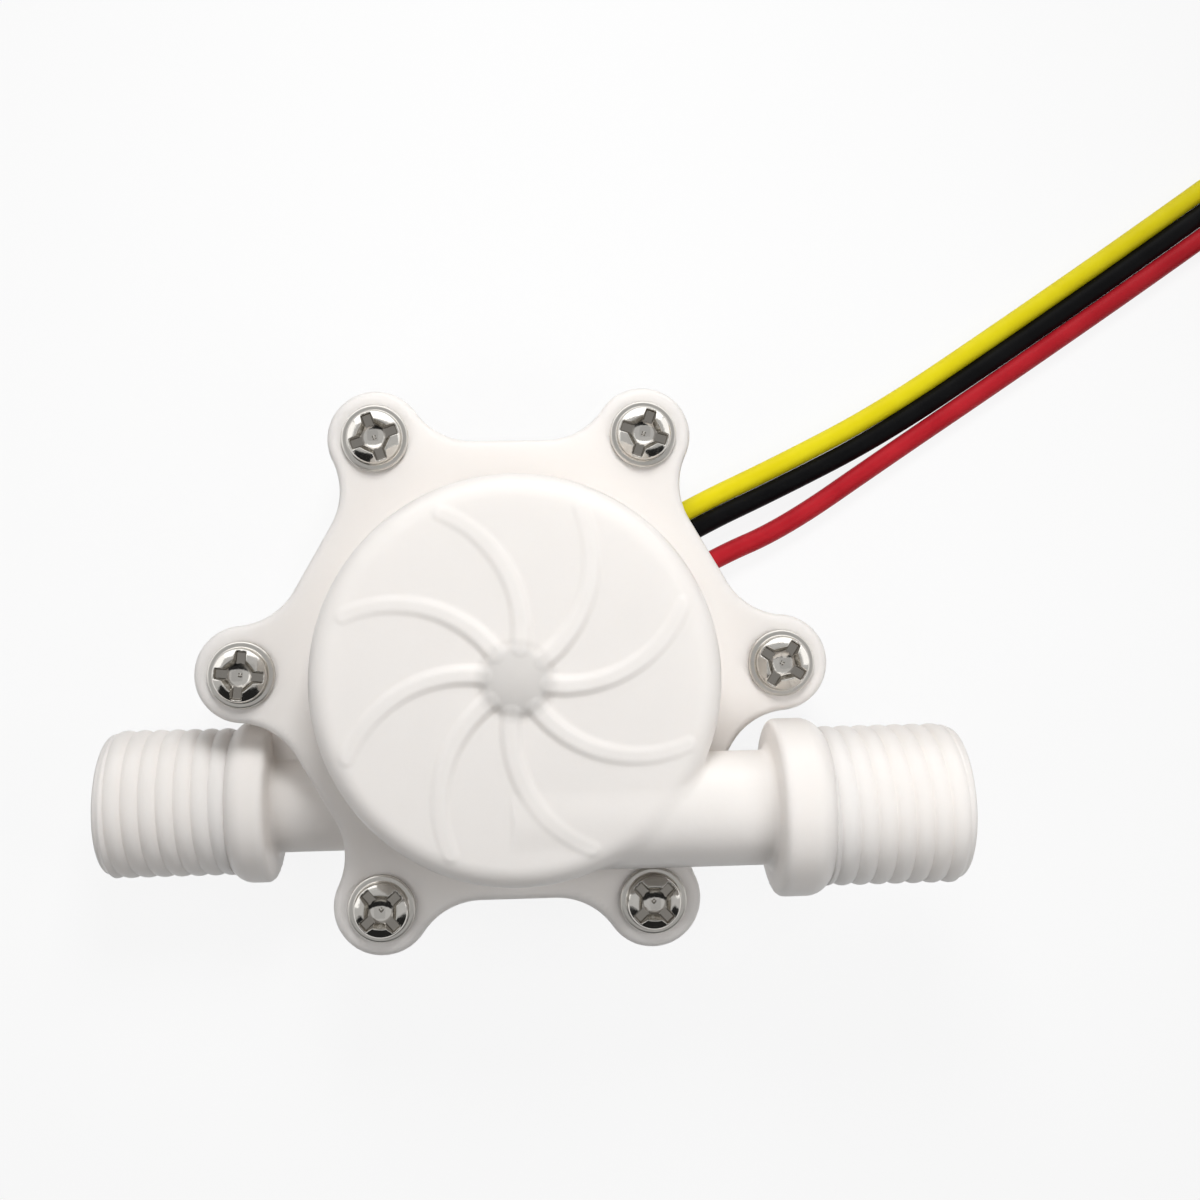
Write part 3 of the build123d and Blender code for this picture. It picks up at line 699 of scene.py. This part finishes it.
@dataclass(frozen=True)
class Shells:
    """The cover and the base, with the threads of their ports."""

    parting: float = 10.5
    flange_thickness: float = 2.5
    flange_edge: float = 0.6
    seam_edge: float = 0.12
    body_radius: float = 14.0
    dome_height: float = 7.4
    dome_edge: float = 1.7
    dome_root: float = 0.45
    boss_radius: float = 2.45
    boss_height: float = 0.75
    boss_depth: float = 1.0
    boss_edge: float = 0.6
    boss_crown: float = 5.4
    boss_foot: float = 0.4
    port_blend: float = 0.55
    chamber_radius: float = 12.0
    chamber_floor: float = 3.6
    chamber_ceiling: float = 19.1
    screw_hole: float = 1.3
    post_depth: float = 4.4
    post_edge: float = 0.3
    gusset_half_width: float = 0.9
    foot_chamfer: float = 0.5
    lead_angle: float = 30.0
    pocket_start: float = 2.8
    pocket_middle: float = 1.55
    pocket_half_width: float = 4.8
    pocket_depth: float = 2.6
    pocket_corner: float = 1.0
    web_box: tuple[tuple[float, float], ...] = ((-19.0, -13.0), (-7.5, -2.6), (5.2, 8.6))
    fine_reach: float = 0.9
    fine_depth: float = 0.4
    cell: float = 0.29
    flange: Flange = field(default_factory=Flange)
    ribs: SwirlRibs = field(default_factory=SwirlRibs)
    outlet: Port = field(default_factory=lambda: Port(PortSide.OUTLET, 16.4, 17.52, 0.07))
    inlet: Port = field(default_factory=lambda: Port(PortSide.INLET, 6.3, 18.08, 0.4))

    @property
    def dome_top(self) -> float:
        """The height of the dome's face."""
        return self.parting + self.flange_thickness + self.dome_height

    def cover_distance(self, x: Array, y: Array, z: Array) -> Array:
        """Returns the distance to the cover."""
        radius = np.hypot(x, y)
        flange_top = self.parting + self.flange_thickness
        plate = round_common(self.flange.distance(x, y), z - flange_top, self.flange_edge)
        raised = z - self.ribs.height(x, y)
        dome = round_common(radius - self.body_radius, raised - self.dome_top, self.dome_edge)
        dome = np.maximum(dome, self.parting - raised)
        peak = self.dome_top + self.boss_height
        crown = np.hypot(radius, z - peak + self.boss_crown) - self.boss_crown
        boss = round_common(radius - self.boss_radius, crown, self.boss_edge)
        boss = np.maximum(boss, self.dome_top - self.boss_depth - z)
        shell = round_join(round_join(plate, dome, self.dome_root), boss, self.boss_foot)
        shell = round_common(shell, self.parting - z, self.seam_edge)
        shell = round_join(shell, self.outlet.solid(x, y, z), self.port_blend)
        chamber = np.maximum(radius - self.chamber_radius, z - self.chamber_ceiling)
        holes = (self.screw_hole - np.hypot(x - centre[0], y - centre[1])
                 for centre in self.flange.screw_places())
        return common(shell, -chamber, -self.outlet.water_way(x, y, z), *holes)

    def base_distance(self, x: Array, y: Array, z: Array) -> Array:
        """Returns the distance to the base."""
        radius = np.hypot(x, y)
        flange_bottom = self.parting - self.flange_thickness
        around = radius - self.body_radius
        chamfer = (around - z + self.foot_chamfer) / math.sqrt(2)
        body = common(around, -z, chamfer, z - self.parting)
        plate = round_common(self.flange.distance(x, y), flange_bottom - z, self.flange_edge)
        plate = round_common(plate, z - self.parting, self.seam_edge)
        along, across = self.flange.folded(x, y)
        under = np.maximum(flange_bottom - self.post_depth - z, z - self.parting + self.flange_edge)
        post = np.hypot(along - self.flange.screw_circle, across) - self.flange.lobe_radius
        post = round_common(post, under, self.post_edge)
        gusset = np.maximum(across - self.gusset_half_width, along - self.flange.screw_circle)
        shell = np.minimum(round_join(body, plate, self.dome_root), post)
        shell = round_join(shell, round_common(gusset, under, self.post_edge), self.seam_edge)
        shell = round_join(shell, self.inlet.solid(x, y, z), self.port_blend)
        shell = np.minimum(shell, self.web(x, y, z))
        chamber = np.maximum(radius - self.chamber_radius, self.chamber_floor - z)
        shell = common(shell, -chamber, -self.inlet.water_way(x, y, z), -z)
        return round_common(shell, -self.pocket(x, y, z), self.seam_edge)

    def web(self, *place: Array) -> Array:
        """Returns the distance to the web that joins the inlet port to the flange above it."""
        return common(*(side for (low, high), value in zip(self.web_box, place)
                        for side in (low - value, value - high)))

    def pocket(self, x: Array, y: Array, z: Array) -> Array:
        """Returns the distance to the sensor pocket, which opens at the back and towards the leads."""
        turn = math.radians(self.lead_angle)
        along = x * math.cos(turn) + y * math.sin(turn)
        aside = np.abs(y * math.cos(turn) - x * math.sin(turn) - self.pocket_middle) - self.pocket_half_width
        plan = round_common(self.pocket_start - along, aside, self.pocket_corner)
        return np.maximum(plan, z - self.pocket_depth)

    def on_dome(self, places: Array) -> Array:
        """Returns which places lie on the dome's face, where the ribs are."""
        near = np.hypot(places[:, 0], places[:, 1]) < self.ribs.end_radius + self.fine_reach
        return near & (places[:, 2] > self.dome_top - self.fine_depth)

    def build(self) -> None:
        """Builds both shells and the two threads."""
        margin = 3 * self.cell
        shells = {"cover": (self.cover_distance, self.on_dome), "base": (self.base_distance, None)}
        boxes = {name: [np.array(corner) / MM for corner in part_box(name)] for name in shells}
        for name, (distance, fine_zone) in shells.items():
            low, high = boxes[name]
            form = MouldedForm(distance, low - margin, high + margin, self.cell, fine_zone=fine_zone)
            add_piece(form.mesh(f"{name}_shell"), HOUSING_PLASTIC, HOUSING_BODY, "housing_plastic", name)
        for port, name in ((self.outlet, "outlet_thread"), (self.inlet, "inlet_thread")):
            add_piece(PortThread(port).mesh(name), HOUSING_PLASTIC, HOUSING_BODY, "housing_plastic")


class Tree:
    """A Geometry Nodes group with named inputs."""

    def __init__(self, name: str, kind: str, inputs: Sequence[str]) -> None:
        """Args: name: the group's name. kind: the socket type of its own inputs. inputs: their names."""
        self.group = bpy.data.node_groups.new(name, "GeometryNodeTree")
        self.graph = Graph(self.group)
        sockets = [("Geometry", "INPUT", "NodeSocketGeometry"), ("Geometry", "OUTPUT", "NodeSocketGeometry")]
        for label, way, socket_type in sockets + [(label, "INPUT", kind) for label in inputs]:
            self.group.interface.new_socket(label, in_out=way, socket_type=socket_type)
        self.inputs = self.graph.node("NodeGroupInput").outputs

    def close(self, geometry: Any, material: Material) -> None:
        """Ends the tree with Realize Instances and Set Material."""
        real = self.graph.term("GeometryNodeRealizeInstances", {"Geometry": geometry})
        dressed = self.graph.term("GeometryNodeSetMaterial", {"Geometry": real, "Material": material})
        self.graph.node("NodeGroupOutput", {"Geometry": dressed})

    def apply(self, piece: Object, values: dict[str, Any], name: str) -> Mesh:
        """Runs the tree on a piece.

        Args:
            piece: the object that carries the modifier, which is removed.
            values: the named inputs' values.
            name: the new mesh's name.

        Returns:
            The plain mesh that comes out.
        """
        modifier = piece.modifiers.new(self.group.name, "NODES")
        modifier.node_group = self.group
        for item in self.group.interface.items_tree:
            if item.in_out == "INPUT" and item.name in values:
                modifier[item.identifier] = values[item.name]
        mesh = bpy.data.meshes.new_from_object(piece.evaluated_get(bpy.context.evaluated_depsgraph_get()))
        mesh.name = name
        bpy.data.objects.remove(piece)
        return mesh


def lathe(name: str, profile: Sequence[tuple[float, float]], columns: int,
          closed: bool = False) -> Mesh:
    """Turns a profile about the X axis.

    Args:
        name: the mesh's name.
        profile: pairs of place along the axis and radius.
        columns: how many times the profile is repeated round the axis.
        closed: whether the profile's last point joins its first.

    Returns:
        The mesh in metres, with its normals outwards.
    """
    rows = np.array(profile)
    turns = np.arange(columns) * 2 * math.pi / columns
    points = np.stack([np.repeat(rows[:, 0], columns), np.outer(rows[:, 1], np.cos(turns)).ravel(),
                       np.outer(rows[:, 1], np.sin(turns)).ravel()], axis=1)
    spans = len(rows) if closed else len(rows) - 1
    row, column = np.meshgrid(np.arange(spans), np.arange(columns), indexing="ij")
    next_row, next_column = (row + 1) % len(rows), (column + 1) % columns
    corners = [row * columns + column, row * columns + next_column, next_row * columns + next_column,
               next_row * columns + column]
    faces = np.stack([corner.ravel() for corner in corners], axis=1)
    mesh = new_mesh(name, (points * MM).tolist(), faces.tolist())
    shape = bmesh.new()
    shape.from_mesh(mesh)
    bmesh.ops.remove_doubles(shape, verts=shape.verts, dist=MERGED)
    bmesh.ops.recalc_face_normals(shape, faces=shape.faces)
    shape.to_mesh(mesh)
    shape.free()
    mesh.shade_smooth()
    return mesh


@dataclass(frozen=True)
class PortThread:
    """The rounded thread on a port, with the port's end face and mouth."""

    port: Port
    pitch: float = 1.25
    depth: float = 0.26
    crest_power: float = 0.6
    run_in: float = 0.3
    run_out: float = 0.3
    start_inset: float = 0.5
    edge: float = 0.35
    lip_share: float = 0.6
    sleeve_depth: float = 0.2
    root_slack: float = 0.05
    edge_steps: int = 8
    rows_per_mm: int = 16
    columns: int = 160

    def profile(self) -> list[tuple[float, float]]:
        """Returns the sleeve's closed profile along the port, with the thread's root as its outside."""
        port = self.port
        root = port.thread_radius - self.depth
        start = port.thread_start - self.start_inset
        stop = port.end - self.edge
        count = round((stop - start) * self.rows_per_mm)
        outside = [(start + (stop - start) * step / count, root) for step in range(count + 1)]
        turns = [math.pi / 2 * step / self.edge_steps for step in range(self.edge_steps + 1)]
        lead = [(stop + self.edge * math.sin(turn), root - self.edge * (1 - math.cos(turn)))
                for turn in turns[1:]]
        inner = self.edge * self.lip_share
        lip = [(port.end - inner * (1 - math.cos(turn)), port.mouth_radius + inner * (1 - math.sin(turn)))
               for turn in turns]
        bottom, within = port.end - port.mouth_depth, port.core_radius - self.sleeve_depth
        return [*outside, *lead, *lip, (bottom, port.mouth_radius), (bottom, within), (start, within)]

    def values(self) -> dict[str, float]:
        """Returns the values of the tree's named inputs."""
        port = self.port
        lengths = {"Pitch": self.pitch, "Depth": self.depth, "Start": port.thread_start,
                   "End": port.end - self.edge, "Root": port.thread_radius - self.depth,
                   "Run In": self.run_in, "Run Out": self.run_out}
        scaled = {name: length * MM for name, length in lengths.items()}
        return {**scaled, "Crest Power": self.crest_power, "Phase": port.thread_phase}

    def tree(self) -> Tree:
        """Returns the tree that raises a rounded helical ridge on the sleeve's outside."""
        tree = Tree("port_thread_form", "NodeSocketFloat", list(self.values()))
        graph = tree.graph
        given = {name: Term(graph, tree.inputs[name]) for name in self.values()}
        along, side, up = graph.parts(graph.term("GeometryNodeInputPosition"))
        radius = (side * side + up * up) ** 0.5
        angle = graph.math("ARCTAN2", up, side) * (0.5 / math.pi)
        phase = graph.math("FRACT", along / given["Pitch"] - angle + given["Phase"])
        crest = graph.math("SINE", phase * math.pi).clamped() ** given["Crest Power"]
        run_in = ((along - given["Start"]) / given["Run In"]).clamped()
        run_out = ((given["End"] - along) / given["Run Out"]).clamped()
        outside = graph.math("GREATER_THAN", radius, given["Root"] - given["Depth"] * self.root_slack)
        scale = crest * run_in * run_out * outside * given["Depth"] / radius
        shift = graph.term("ShaderNodeCombineXYZ", {1: side * scale, 2: up * scale})
        moved = graph.term("GeometryNodeSetPosition", {"Geometry": tree.inputs["Geometry"], "Offset": shift})
        tree.close(moved, HOUSING_PLASTIC.material())
        return tree

    def mesh(self, name: str) -> Mesh:
        """Returns the sleeve with its thread, in place."""
        port = self.port
        sleeve = linked("sleeve", lathe("sleeve", self.profile(), self.columns, closed=True))
        mesh = self.tree().apply(sleeve, self.values(), name)
        if port.side is PortSide.INLET:
            mesh.transform(Matrix.Rotation(math.pi, 4, "Z"))
        mesh.transform(Matrix.Translation(Vector((port.middle_x, port.axis_y, port.axis_z)) * MM))
        mesh.shade_smooth()
        return mesh


@dataclass(frozen=True)
class CoverScrews:
    """The six pan-head screws, each with a washer flange and a cross recess, turned by its own angle."""

    flange: Flange
    seat: float = 13.0
    washer_radius: float = 2.4
    washer_thickness: float = 0.5
    washer_edge: float = 0.2
    head_radius: float = 1.95
    head_side: float = 0.58
    head_crown: float = 0.72
    edge: float = 0.13
    shank_radius: float = 1.15
    shank_length: float = 8.0
    tip_share: float = 0.4
    columns: int = 48
    wing_reach: float = 1.95
    wing_half_width: float = 0.5
    wing_depth: float = 0.9
    wing_slope: float = 0.35
    side_slope: float = 0.21
    core_radius: float = 1.25
    core_slope: float = 0.42
    recess_depth: float = 1.2
    core_bowl: float = 0.4
    nib_radius: float = 0.16
    nib_rise: float = 0.048
    lip: float = 0.04
    cell: float = 0.075
    turns: tuple[float, ...] = (-33.0, -19.0, 19.0, -7.0, 41.0, 43.0)

    @property
    def top(self) -> float:
        """The highest point of the crown."""
        return self.seat + self.washer_thickness + self.head_side + self.head_crown

    def recess(self, x: Array, y: Array, z: Array) -> Array:
        """Returns the distance to the recess: four sloping wings round an eight-sided core with a nib."""
        along, across = np.maximum(np.abs(x), np.abs(y)), np.minimum(np.abs(x), np.abs(y))
        depth = self.top - z
        wing = common(along - self.wing_reach + self.wing_slope * depth,
                      across - self.wing_half_width + self.side_slope * depth, depth - self.wing_depth)
        facets = np.maximum(along, (along + across) / math.sqrt(2))
        bowl = depth - self.recess_depth + self.core_bowl * (x**2 + y**2)
        nib = self.nib_radius - np.hypot(np.hypot(x, y), self.recess_depth - depth + self.nib_rise)
        return np.minimum(wing, common(facets - self.core_radius + self.core_slope * depth, bowl, nib))

    def head_distance(self, x: Array, y: Array, z: Array) -> Array:
        """Returns the distance to a head on the rotor axis, with its washer and its recess."""
        radius = np.hypot(x, y)
        half = self.washer_thickness / 2
        beyond = np.abs(z - self.seat - half) - half
        washer = round_common(radius - self.washer_radius, beyond, self.washer_edge)
        ball = (self.head_radius**2 + self.head_crown**2) / (2 * self.head_crown)
        crown = np.hypot(radius, z - self.top + ball) - ball
        head = np.maximum(round_common(radius - self.head_radius, crown, self.edge), self.seat + half - z)
        return round_common(round_join(washer, head, self.edge), -self.recess(x, y, z), self.lip)

    def head(self) -> Mesh:
        """Returns one head on the rotor axis."""
        margin = 2 * self.cell
        reach = self.washer_radius + margin
        low = np.array([-reach, -reach, self.seat - margin])
        high = np.array([reach, reach, self.top + margin])
        form = MouldedForm(self.head_distance, low, high, self.cell, slope_step=0.005, shading_step=0.012)
        return form.mesh("screw_head")

    def shank(self) -> Mesh:
        """Returns one shank on the rotor axis, from its tip to inside the washer."""
        tip = self.seat - self.shank_length
        inside = self.seat + self.washer_thickness / 2
        profile = [(tip, 0.0), (tip, self.shank_radius * self.tip_share),
                   (tip + self.shank_radius, self.shank_radius), (inside, self.shank_radius), (inside, 0.0)]
        mesh = lathe("screw_shank", profile, self.columns)
        mesh.transform(Matrix(((0, 1, 0, 0), (0, 0, 1, 0), (1, 0, 0, 0), (0, 0, 0, 1))))
        return mesh

    def tree(self) -> Tree:
        """Returns the tree that sets a screw on every point, turned by the point's own angle."""
        tree = Tree("screw_set", "NodeSocketObject", ("Head", "Shank"))
        graph = tree.graph
        turn = graph.term("GeometryNodeInputNamedAttribute", {"Name": "turn"}, data_type="FLOAT")
        rotation = graph.term("ShaderNodeCombineXYZ", {2: turn})
        points = graph.term("GeometryNodeMeshToPoints", {"Mesh": tree.inputs["Geometry"]})
        both = graph.node("GeometryNodeJoinGeometry")
        for name in ("Shank", "Head"):
            source = graph.term("GeometryNodeObjectInfo", {"Object": tree.inputs[name]}, "Geometry")
            placed = graph.term("GeometryNodeInstanceOnPoints",
                                {"Points": points, "Instance": source, "Rotation": rotation})
            graph.join(placed, both.inputs[0])
        tree.close(both.outputs[0], PLATING.material())
        return tree

    def build(self) -> None:
        """Builds the set of screws."""
        places = [tuple(Vector((x, y, 0)) * MM) for x, y in self.flange.screw_places()]
        mesh = new_mesh("screw_places", places)
        turns = mesh.attributes.new("turn", "FLOAT", "POINT")
        turns.data.foreach_set("value", [math.radians(turn) for turn in self.turns])
        sources = {"Head": linked("screw_head", self.head()), "Shank": linked("screw_shank", self.shank())}
        made = self.tree().apply(linked("screw_places", mesh), sources, "screws_plated")
        for source in sources.values():
            bpy.data.objects.remove(source)
        add_piece(made, PLATING, HOUSING_BODY, "screw_steel", "cover_screws")


@dataclass(frozen=True)
class Lead:
    """One lead: its colour, its exit, the points that it passes, and its lane in the coil."""

    colour: str
    finish: Finish
    exit_across: float
    route: tuple[Triple, ...]
    lane: int


@dataclass(frozen=True)
class Leads:
    """The three leads from the resin to the connector, with their spare length coiled."""

    radius: float = 0.8
    bulge: float = 0.02
    real_length: float = 150.0
    steps_round: int = 7
    steps_along: int = 10
    exit_along: float = 12.3
    exit_straight: float = 5.7
    exit_height: float = 1.45
    lead_angle: float = 30.0
    pitch: float = 1.62
    coil_centre: tuple[float, float] = (70.48, 34.26)
    coil_radius: float = 8.6
    coil_step: float = 30.0
    entry_angle: float = 123.6
    swept: float = 483.6
    floor_height: float = 0.85
    top_height: float = 2.45
    flip: tuple[float, float] = (90.0, 270.0)
    flip_slack: float = 1.05
    climb: tuple[float, float] = (270.0, 340.0)
    tail_turn_y: float = 28.5
    connector_rear_y: float = 22.9
    connector_pitch: float = 2.5
    connector_height: float = 2.85
    leads: tuple[Lead, ...] = (
        Lead("yellow", YELLOW_LEAD, 3.85,
             ((21.9, 16.05, 1.2), (30.6, 20.4, 0.95), (41.0, 27.1, 0.85), (53.4, 35.3, 0.85)), 1),
        Lead("black", BLACK_LEAD, 2.2,
             ((21.9, 14.23, 1.15), (30.56, 18.48, 0.9), (41.16, 25.24, 0.85), (53.8, 33.6, 0.85)), 0),
        Lead("red", RED_LEAD, -0.7,
             ((22.05, 10.85, 1.1), (30.73, 16.56, 0.85), (41.42, 23.45, 0.85), (54.42, 32.03, 0.85)), -1),
    )

    def exit_point(self, along: float, across: float) -> Vector:
        """Returns a place along and across the direction in which the leads leave."""
        turn = math.radians(self.lead_angle)
        return Vector((along * math.cos(turn) - across * math.sin(turn),
                       along * math.sin(turn) + across * math.cos(turn), self.exit_height))

    def coil_point(self, lane: int, angle: float) -> Vector:
        """Returns the control point of a lane where the coil has swept an angle, in degrees."""
        crossed, climbed = (min(max((angle - start) / (stop - start), 0.0), 1.0)
                            for start, stop in (self.flip, self.climb))
        beta = math.pi * crossed
        height = self.floor_height + (self.top_height - self.floor_height) * climbed
        lift = self.flip_slack * self.pitch * math.sin(beta) * (1 + lane)
        middle = self.coil_radius + lane * self.pitch * math.cos(beta)
        radius = middle / math.cos(math.radians(self.coil_step / 2)) ** 2
        turn = math.radians(self.entry_angle - angle)
        return Vector((self.coil_centre[0] + radius * math.cos(turn),
                       self.coil_centre[1] + radius * math.sin(turn), height + lift))

    def control_points(self, lead: Lead) -> list[Vector]:
        """Returns the control points of one lead from its exit to its contact."""
        exits = [self.exit_point(along, lead.exit_across)
                 for along in (self.exit_along, self.exit_along + self.exit_straight)]
        coil = [self.coil_point(lead.lane, self.coil_step * (number + 0.5))
                for number in range(int(self.swept // self.coil_step))]
        right = self.coil_centre[0] + self.coil_radius
        tail_x, cavity_x = (right - lead.lane * pitch for pitch in (self.pitch, self.connector_pitch))
        return [
            *exits,
            *(Vector(place) for place in lead.route),
            *coil,
            Vector((tail_x, self.coil_centre[1], self.top_height)),
            Vector((cavity_x, self.tail_turn_y, self.connector_height)),
            Vector((cavity_x, self.connector_rear_y, self.connector_height)),
        ]

    def build(self, connector: Sequence[Object]) -> None:
        """Builds the leads.

        Args:
            connector: not used.
        """
        for lead in self.leads:
            points = self.control_points(lead)
            name = f"lead_{lead.colour}"
            curve = bpy.data.curves.new(name, "CURVE")
            curve.dimensions = "3D"
            curve.bevel_depth = (self.radius + self.bulge) * MM
            curve.bevel_resolution = self.steps_round
            curve.resolution_u = self.steps_along
            curve.use_fill_caps = True
            spline = curve.splines.new("NURBS")
            spline.points.add(len(points) - 1)
            for target, point in zip(spline.points, points):
                target.co = (*(point * MM), 1.0)
            spline.order_u = 3
            spline.use_endpoint_u = True
            replaced = [f"wire_{lead.colour}"] + (["lead_coil"] if lead.lane == 0 else [])
            piece = add_piece(curve, lead.finish, HOUSING_BODY, name, *replaced)


@dataclass(frozen=True)
class InnerPieces:
    """The CAD pieces that keep their own shape and get a finish."""

    finishes: tuple[tuple[Finish, tuple[str, ...]], ...] = (
        (RUBBER, ("body_seal",)),
        (STEEL, ("rotor_shaft",)),
        (SLIP_PLASTIC, ("lower_thrust_washer", "upper_thrust_washer")),
        (ROTOR_PLASTIC, ("rotor",)),
        (SINTERED, ("rotor_magnets",)),
        (SOLDER_MASK, ("sensor_board",)),
        (EPOXY_BLACK, ("hall_chip", "board_resistor")),
        (TINNED, ("chip_legs", "solder_joints")),
        (CERAMIC, ("board_capacitor",)),
        (BLACK_LEAD, ("lead_ends",)),
        (RESIN, ("potting",)),
        (CONNECTOR_PLASTIC, ("connector_housing",)),
        (CONTACT_METAL, ("connector_contacts",)),
    )

    def dress(self, nodes: dict[str, Object]) -> None:
        """Gives every kept node its material.

        Args:
            nodes: the frame's nodes by name.
        """
        for finish, names in self.finishes:
            for name in names:
                materials = nodes[name].data.materials
                materials.clear()
                materials.append(finish.material())
                LOG.info("piece %s keeps its shape", name)


@dataclass(frozen=True)
class Card:
    """A grey card that only reflections show, as the things round a work table do."""

    brightness: float
    place: Triple
    size: tuple[float, float]


@dataclass(frozen=True)
class Studio:
    """The camera of the photograph, a pale floor and soft light."""

    frame_pixels: float = 1200.0
    focal_pixels: float = 1322.56
    centre_pixels: tuple[float, float] = (581.44, 555.91)
    sensor_mm: float = 36.0
    clip: tuple[float, float] = (0.005, 20.0)
    turn_degrees: Triple = (-2.058, 2.800, 1.125)
    offset: Triple = (-4.839, -8.042, -94.913)
    target: Triple = (-0.15, 0.52, 13.5)
    floor_size: float = 6.0
    floor_drop: float = 0.02
    floor_grey: float = 0.86
    floor_white: float = 0.88
    sky: float = 0.122
    reflected_sky: float = 0.55
    lamps: tuple[tuple[str, Triple, float], ...] = (
        ("key", (0.004, 0.074, 0.088), 0.0765),
        ("fill_right", (0.048, -0.008, 0.07), 0.0163),
        ("fill_left", (-0.048, -0.01, 0.07), 0.0118),
    )
    lamp_size: float = 0.035
    lamp_aim: Triple = (0.0, 0.0, 0.018)
    card_aim: Triple = (0.0, 0.0, 0.01)
    cards: tuple[Card, ...] = (
        Card(0.45, (0.0, 0.0, 0.16), (0.2, 0.2)),
        Card(1.9, (0.0, 0.2, 0.07), (0.44, 0.12)),
        Card(1.3, (0.22, 0.07, 0.06), (0.2, 0.1)),
        Card(1.3, (-0.22, 0.07, 0.06), (0.2, 0.1)),
        Card(0.02, (0.0, -0.17, 0.08), (0.66, 0.2)),
    )

    def camera(self) -> None:
        """Makes the camera."""
        data = bpy.data.cameras.new("camera")
        data.sensor_width = self.sensor_mm
        data.lens = self.sensor_mm * self.focal_pixels / self.frame_pixels
        half = self.frame_pixels / 2
        data.shift_x = (half - self.centre_pixels[0]) / self.frame_pixels
        data.shift_y = (self.centre_pixels[1] - half) / self.frame_pixels
        data.clip_start, data.clip_end = self.clip
        turn = Vector([math.radians(angle) for angle in self.turn_degrees])
        rotation = Matrix.Rotation(turn.length, 3, turn.normalized()).transposed()
        place = Vector(self.target) - rotation @ Vector(self.offset)
        camera = linked("camera", data)
        camera.matrix_world = Matrix.Translation(place * MM) @ rotation.to_4x4()
        bpy.context.scene.camera = camera

    @staticmethod
    def sheet(name: str, width: float, height: float, move: Matrix) -> tuple[Object, Graph]:
        """Makes one rectangle with a material of its own.

        Args:
            name: the name of the rectangle and its material.
            width: its size along X.
            height: its size along Y.
            move: where it goes.

        Returns:
            The rectangle, and its material's empty tree.
        """
        x, y = width / 2, height / 2
        mesh = new_mesh(name, [(-x, -y, 0), (x, -y, 0), (x, y, 0), (-x, y, 0)], [(0, 1, 2, 3)])
        mesh.transform(move)
        mesh.materials.append(bpy.data.materials.new(name))
        return linked(name, mesh), Graph.of(mesh.materials[0])

    def floor(self) -> None:
        """Makes the pale floor, which keeps the object's shadow."""
        move = Matrix.Translation((0, 0, -self.floor_drop * MM))
        floor, graph = self.sheet("floor", self.floor_size, self.floor_size, move)
        paper = graph.term("ShaderNodeBsdfDiffuse", {"Color": (*[self.floor_grey] * 3, 1.0)})
        glow = graph.term("ShaderNodeEmission", {"Color": WHITE, "Strength": 1.0})
        seen = graph.rays("Camera", "Glossy", "Transmission")
        mixed = graph.term("ShaderNodeMixShader", {0: seen * self.floor_white, 1: paper, 2: glow})
        graph.node("ShaderNodeOutputMaterial", {"Surface": mixed})
        floor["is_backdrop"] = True

    def world(self) -> None:
        """Makes the world: dim for light, white for the camera and grey in reflections."""
        world = bpy.data.worlds.new("studio")
        graph = Graph.of(world)
        seen = (1.0 - self.sky) * graph.rays("Camera", "Transmission")
        mirrored = (self.reflected_sky - self.sky) * graph.rays("Glossy")
        sky = graph.term("ShaderNodeBackground", {"Color": WHITE, "Strength": self.sky + seen + mirrored})
        graph.node("ShaderNodeOutputWorld", {"Surface": sky})
        bpy.context.scene.world = world

    @staticmethod
    def aimed(place: Triple, aim: Triple, forward: str) -> Matrix:
        """Returns the matrix of a thing at a place whose forward axis points at its aim."""
        turn = (Vector(aim) - Vector(place)).to_track_quat(forward, "Y")
        return Matrix.Translation(Vector(place)) @ turn.to_matrix().to_4x4()

    def lamp(self, name: str, place: Triple, watts: float) -> None:
        """Makes one soft square lamp that points at the sensor.

        Args:
            name: the lamp's name.
            place: its middle.
            watts: its power.
        """
        data = bpy.data.lights.new(name, "AREA")
        data.shape = "SQUARE"
        data.size = self.lamp_size
        data.energy = watts
        lamp = linked(name, data)
        lamp.matrix_world = self.aimed(place, self.lamp_aim, "-Z")
        lamp.visible_glossy = lamp.visible_camera = False

    def card(self, name: str, card: Card) -> None:
        """Hangs one card."""
        piece, graph = self.sheet(name, *card.size, self.aimed(card.place, self.card_aim, "Z"))
        glow = graph.term("ShaderNodeEmission", {"Strength": card.brightness})
        graph.node("ShaderNodeOutputMaterial", {"Surface": glow})
        piece.visible_camera = piece.visible_diffuse = False
        piece.visible_shadow = piece.visible_transmission = False
        piece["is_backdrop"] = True

    def build(self) -> None:
        """Sets the whole studio."""
        bpy.context.scene.view_settings.view_transform = "Standard"
        self.camera()
        self.floor()
        self.world()
        for lamp in self.lamps:
            self.lamp(*lamp)
        for number, card in enumerate(self.cards):
            self.card(f"card_{number}", card)


def corners(box: tuple[Vector, Vector]) -> list[list[float]]:
    """Returns a box's two corners as plain lists."""
    return [list(corner) for corner in box]


def main() -> None:
    """Builds the studio and the sensor's pieces."""
    logging.basicConfig(level=logging.INFO, format="%(name)s: %(message)s")
    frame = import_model()
    cad_box = corners(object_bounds())
    Studio().build()
    shells = Shells()
    InnerPieces().dress(frame["nodes"])
    Leads().build([frame["nodes"]["connector_housing"], frame["nodes"]["connector_contacts"]])
    shells.build()
    CoverScrews(shells.flange).build()
    {"cad": cad_box, "visual": corners(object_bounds())}


if __name__ == "__main__":
    main()
